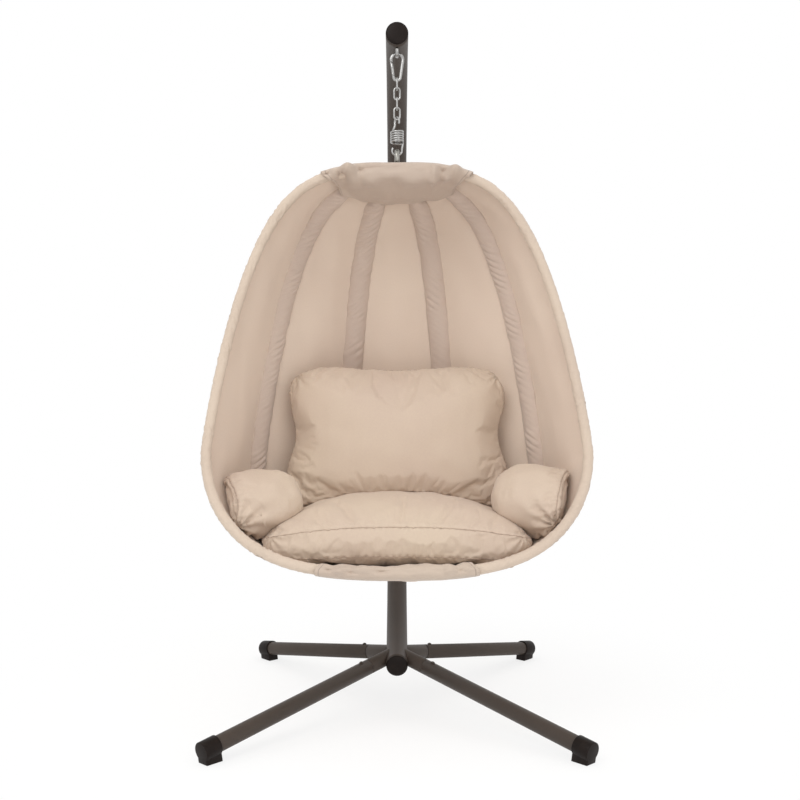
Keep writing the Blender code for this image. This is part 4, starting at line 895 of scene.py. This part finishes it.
# Seat cushion: a box cushion with square front corners and a high crown, pressed down into the pod's bottom.
# A border panel runs round it between two seams. It is well filled, and its cloth is slack at the seams.
seat_width = 0.610
seat_depth = 0.350
seat_border = 0.066
seat_crown = 0.050
seat_side_drop = 0.030
seat_rear_drop = 0.045
seat_bulge = 0.080
front_power, rear_power = 7.0, 2.8
seat_seam_z = pod_sole.z + 0.095
seat_middle = Vector((0, pod_sole.y + 0.036 + seat_depth / 2, seat_seam_z - seat_border / 3))
cushion_canvas = woven("cushion_canvas", (0.622, 0.508, 0.398), (0.577, 0.454, 0.37), on_uv=False)
seam_lip = 0.0010
even_mesh = 0.0055
blow_frames = 20
cushion_gap = 0.0006
# Seam lips: the cushion cloth darkened, as painted shade in the seam creases.
shade_darkened_seam_canvas = woven("shade_darkened_seam_canvas", (0.47, 0.36, 0.28), (0.42, 0.31, 0.245), thread=0.0008, on_uv=False)
tape_crest = pole[:, :2] - 0.0150 * pole[:, 2:]
cover_inside = pole[:, :2] + (cover_seat - 0.0016 - panel_sag * pole[:, 1:2] / pod_radius) * pole[:, 2:]
flap_inside_line = pole[:, :2] - 0.0230 * pole[:, 2:]


def in_pod(point):
    """Whether a point lies in the room for cushions, clear of cover, tapes and lower flap."""
    offset = point - pod_top
    drop, behind = offset.dot(down), offset.dot(back)
    reach = hypot(offset.x, behind)
    from_middle = atan2(behind, offset.x) % pitch - pitch / 2
    room = np.interp(drop, *cover_inside.T) * cos(pitch / 2) / cos(from_middle)
    if reach * (pitch / 2 - abs(from_middle)) < strip_width / 2:
        room = min(room, np.interp(drop, *tape_crest.T))
    if abs(offset.x) < flap_half * 1.1 and behind < flap_inside * 1.2:
        room = min(room, np.interp(drop, *flap_inside_line.T))
    return behind > rim_cloth_radius + 0.002 and reach < room


def pressed(point, heart):
    """The point, or where the way to it from the cushion's heart meets the pod."""
    if in_pod(point):
        return point
    near, far = 0.0, 1.0
    for _ in range(12):
        middle = (near + far) / 2
        near, far = (middle, far) if in_pod(heart.lerp(point, middle)) else (near, middle)
    return heart.lerp(point, near)


def squared_reach(angle, power):
    """The reach of a squared oval at an angle."""
    return (abs(cos(angle)) ** power + abs(sin(angle)) ** power) ** (-1 / power)


def stuffed(head, rings, tail):
    """A closed cushion over rings of points, from its head to its tail."""
    bm = bmesh.new()
    loops = []
    for ring in rings:
        verts = [bm.verts.new(point) for point in ring]
        loops.append([bm.edges.new((verts[i - 1], verts[i])) for i in range(len(verts))])
    for upper_loop, lower_loop in zip(loops, loops[1:]):
        bmesh.ops.bridge_loops(bm, edges=upper_loop + lower_loop)
    for tip, loop in ((head, loops[0]), (tail, loops[-1])):
        top = bm.verts.new(tip)
        for edge in loop:
            bm.faces.new((*edge.verts, top))
    bmesh.ops.recalc_face_normals(bm, faces=bm.faces)
    return bm


def gathers(spot, tip, count, size):
    """Folds that fan out from a gathered tip, seen from the front."""
    away = spot - tip
    fan = sin(count * atan2(away.z, away.x) + 2 * ripple(spot, 0.06))
    return fan * rise(0.0, 0.02, away.length) * exp(-away.length / size)


def filled(name, bm, seams, folds, rooms, heart, pressure, slack, most):
    """Blows the cushion up as slack cloth that its seams hold, and keeps it in its room."""
    blown = object_of(name, bm)
    remesh = blown.modifiers.new("even", "REMESH")
    remesh.mode = "VOXEL"
    remesh.voxel_size = even_mesh
    even = bpy.data.meshes.new_from_object(blown.evaluated_get(bpy.context.evaluated_depsgraph_get()))
    blown.modifiers.clear()
    blown.data = even
    seam_tree = KDTree(sum(len(seam) for seam in seams))
    for number, point in enumerate(point for seam in seams for point in seam):
        seam_tree.insert(point, number)
    seam_tree.balance()
    start = [vert.co.copy() for vert in even.vertices]
    held = blown.vertex_groups.new(name="held")
    for number, point in enumerate(start):
        held.add([number], 1 - rise(0.004, 0.014, seam_tree.find(point)[2]), "REPLACE")
    slack_cloth = blown.modifiers.new("cloth", "CLOTH")
    cloth_values = dict(quality=6, mass=0.25, tension_stiffness=18, compression_stiffness=18,
                        shear_stiffness=8, bending_stiffness=0.25, use_pressure=True,
                        uniform_pressure_force=pressure, shrink_min=-slack, vertex_group_mass="held")
    for setting, value in cloth_values.items():
        setattr(slack_cloth.settings, setting, value)
    slack_cloth.settings.effector_weights.gravity = 0
    slack_cloth.point_cache.frame_start = 1
    slack_cloth.point_cache.frame_end = blow_frames
    for moment in range(1, blow_frames + 1):
        scene.frame_set(moment)
    even = bpy.data.meshes.new_from_object(blown.evaluated_get(bpy.context.evaluated_depsgraph_get()))
    scene.frame_set(1)
    bpy.data.objects.remove(blown)
    for vert, point in zip(even.vertices, start):
        moved = vert.co - point
        if moved.length > most:
            vert.co = point + moved * (most / moved.length)
    bm = bmesh.new()
    bm.from_mesh(even)
    bmesh.ops.subdivide_edges(bm, edges=bm.edges, cuts=1, use_grid_fill=True, smooth=0.6)
    bmesh.ops.smooth_vert(bm, verts=bm.verts, factor=0.5, use_axis_x=True, use_axis_y=True, use_axis_z=True)
    bm.normal_update()
    for vert in bm.verts:
        near = seam_tree.find(vert.co)[2]
        groove = -0.0030 * exp(-(near / 0.0042) ** 2)
        pucker = 0.0022 * ripple(vert.co, 0.020) * exp(-near / 0.018) * (1 - exp(-near / 0.005))
        vert.co += vert.normal * (groove + pucker + folds(vert.co))
    for vert in bm.verts:
        vert.co = pressed(vert.co, heart(vert.co))
        for room in rooms:
            near, normal, _, _ = room.find_nearest(vert.co, 0.06)
            if near and (vert.co - near).dot(normal) < cushion_gap:
                vert.co = near + normal * cushion_gap
    bmesh.ops.recalc_face_normals(bm, faces=bm.faces)
    return bm


def cushion(name, bm, node_name, seam_name, seams):
    """A finished cushion, with its closed seams drawn as fine lips of cloth in a darker tone, painted shade of the
    seam creases. Gives its surface.
    """
    surface = BVHTree.FromBMesh(bm)
    piece_of(name, bm, cushion_canvas, "chair", "cushion_canvas", node_name)
    routes = []
    for seam in seams:
        points = [seam[i - 1].lerp(seam[i], part / 4) for i in range(len(seam)) for part in range(4)]
        routes.append([near + normal * 0.0002 for near, normal, _, _ in map(surface.find_nearest, points)])
    piece_of(seam_name, wire_along(routes, seam_lip, 1, True), shade_darkened_seam_canvas, "chair", "cushion_canvas")
    return surface


def seat_top(x, y):
    """The height of the seat's crowned top."""
    u, v = abs(x) / (seat_width / 2), (y - seat_middle.y) / (seat_depth / 2)
    power = rear_power if v > 0 else front_power
    share = min(1.0, (u ** power + abs(v) ** power) ** (1 / power))
    rear_slope = seat_rear_drop * max(0.0, v) ** 2
    return seat_seam_z + seat_crown * (1 - share ** 2.4) - seat_side_drop * min(1.0, u) ** 2.5 - rear_slope


seat_sides = 128
seat_rings = []
for share, level in ([(t, 0.0) for t in (0.15, 0.3, 0.45, 0.6, 0.72, 0.82, 0.9, 0.96, 1.0)]
                     + [(1 + 0.010 * sin(pi * t), t) for t in (0.2, 0.4, 0.6, 0.8)]
                     + [(t, 2 - t) for t in (1.0, 0.95, 0.88, 0.78, 0.64, 0.48, 0.3, 0.15)]):
    ring = []
    for i in range(seat_sides):
        angle = 2 * pi * (i + 0.5) / seat_sides
        reach = squared_reach(angle, rear_power if sin(angle) > 0 else front_power)
        edge_x, edge_y = reach * cos(angle) * seat_width / 2, reach * sin(angle) * seat_depth / 2
        x, y = share * edge_x, seat_middle.y + share * edge_y
        border = seat_border * (1 - 0.55 * abs(edge_x / (seat_width / 2)) ** 5)
        z = seat_top(x, y)
        if level:
            z = seat_top(edge_x, seat_middle.y + edge_y) - border * min(level, 1)
        if level > 1:
            z -= seat_bulge * (1 - share ** 2)
        ring.append(pressed(Vector((x, y, z)), seat_middle))
    seat_rings.append(ring)
seat_seams = (seat_rings[8], seat_rings[13])
bm = stuffed(Vector((0, seat_middle.y, seat_top(0, seat_middle.y))), seat_rings,
             pressed(seat_middle - z_axis * seat_bulge * 2, seat_middle))
seat_tips = [min(seat_seams[0], key=lambda point: point.y + side * point.x) for side in (-1, 1)]


def seat_folds(spot):
    """How far the seat's slack cloth stands out: broad dents, and gathers at the front corners."""
    return 0.003 * ripple(spot, 0.045) + 0.0035 * sum(gathers(spot, tip, 9, 0.03) for tip in seat_tips)


bm = filled("seat_form", bm, seat_seams, seat_folds, (), lambda point: seat_middle, pressure=4.0, slack=0.03,
            most=0.010)
seat_room = cushion("seat_pad", bm, "seat_cushion", "seat_seams", seat_seams)

# Back cushion: a knife-edge scatter cushion in the same cloth, with drawn-in sides and small ears.
# It stands on the seat and leans against the back of the pod.
back_width = 0.560
back_height = 0.372
back_thickness = 0.170
back_lean = radians(8)
back_middle = pod_sole + Vector((0, 0.342, 0.276))
back_up = Vector((0, sin(back_lean), cos(back_lean)))
back_front = Vector((0, -cos(back_lean), sin(back_lean)))
back_foot_ahead = 0.068
back_foot = back_middle.y - back_height / 2 * sin(back_lean) - back_foot_ahead
back_sides = 112
back_rings = []
for share, side in ([(t, 1) for t in (0.15, 0.3, 0.45, 0.6, 0.72, 0.82, 0.9, 0.96)] + [(1.0, 0)]
                    + [(t, -1) for t in (0.96, 0.9, 0.82, 0.72, 0.6, 0.45, 0.3, 0.15)]):
    ring = []
    for i in range(back_sides):
        angle = 2 * pi * (i + 0.5) / back_sides
        reach = squared_reach(angle, 5 if sin(angle) > 0 else 8)
        foot = rise(0.0, 0.8, -sin(angle))
        reach *= share * (1 - 0.09 * cos(2 * angle) ** 2 * share * (1 - foot))
        swell = back_thickness / 2 * side * (1 - share ** 2) ** (0.6 + 0.4 * foot)
        x, rise_up = reach * cos(angle) * back_width / 2, reach * sin(angle) * back_height / 2
        if rise_up < 0:
            rise_up *= (back_middle.z - seat_top(x, back_foot) + 0.004) / (back_height / 2)
        swell += back_foot_ahead * (share * max(0.0, -sin(angle))) ** 2
        ring.append(pressed(back_middle + x_axis * x + back_up * rise_up + back_front * swell, back_middle))
    back_rings.append(ring)
bm = stuffed(back_middle + back_front * back_thickness / 2, back_rings,
             pressed(back_middle - back_front * back_thickness / 2, back_middle))
back_seam = back_rings[8]
back_tips = [max(back_seam, key=lambda point: point.z + side * point.x) for side in (-1, 1)]


def back_folds(spot):
    """How far the back cushion's cloth stands out: broad dents, and gathers at its ears."""
    return 0.003 * ripple(spot, 0.06) + 0.0045 * sum(gathers(spot, tip, 8, 0.04) for tip in back_tips)


bm = filled("back_form", bm, (back_seam,), back_folds, (seat_room,), lambda point: back_middle, pressure=4.0,
            slack=0.04, most=0.010)
back_room = cushion("back_pad", bm, "back_cushion", "back_seam", (back_seam,))

# Arm cushions: two short bolsters between the seat and the sides of the pod. Each has a sewn-in end panel,
# which faces out to the rim and is crumpled.
arm_radius = 0.074
arm_sides = 56
for name, side, height in (("left", -1, 0.122), ("right", 1, 0.134)):
    outer = pod_sole + Vector((side * 0.384, 0.124, height))
    inner = pod_sole + Vector((side * 0.240, 0.188, height + 0.012))
    run = (inner - outer).normalized()
    across = run.cross(z_axis).normalized()
    lift = across.cross(run).normalized()
    rings = []
    for along, share in ((-0.05, 0.3), (-0.05, 0.6), (-0.04, 0.85), (-0.01, 0.97), (0.06, 1.0), (0.15, 1.0),
                         (0.3, 1.0), (0.45, 1.0), (0.58, 0.99), (0.70, 0.95), (0.81, 0.87), (0.90, 0.74),
                         (0.97, 0.55), (1.01, 0.30)):
        spine = outer.lerp(inner, along)
        ring = []
        for i in range(arm_sides):
            angle = 2 * pi * i / arm_sides
            reach = arm_radius * share * squared_reach(angle + pi / 4, 2.6) * 1.02
            sag = 1 + 0.4 * max(0.0, -sin(angle)) * (1 - rise(0.0, 0.5, along))
            point = pressed(spine + (across * cos(angle) + lift * sin(angle) * sag) * reach, spine)
            bed = seat_top(point.x, point.y) - 1.5 * max(0.0, abs(point.x) - 0.298)
            ring.append(Vector((point.x, point.y, max(point.z, bed + 0.0012))))
        rings.append(ring)
    arm_seam = rings[3]
    arm_tip = min(arm_seam, key=lambda point: point.z)

    def arm_heart(point):
        """The place on this cushion's spine beside a point."""
        share = (point - outer).dot(inner - outer) / (inner - outer).length_squared
        return outer.lerp(inner, min(0.95, max(0.05, share)))

    def arm_folds(spot):
        """How far this cushion's cloth stands out: dents, and folds that fan out from its lowest corner."""
        return 0.006 * ripple(spot, 0.045) + 0.006 * gathers(spot, arm_tip, 10, 0.05)

    bm = filled("arm_form_" + name, stuffed(outer - run * 0.007, rings, inner + run * 0.002), (arm_seam,),
                arm_folds, (seat_room, back_room), arm_heart, pressure=3.0, slack=0.08, most=0.012)
    cushion("arm_pad_" + name, bm, "arm_cushion_" + name, "arm_seam_" + name, (arm_seam,))
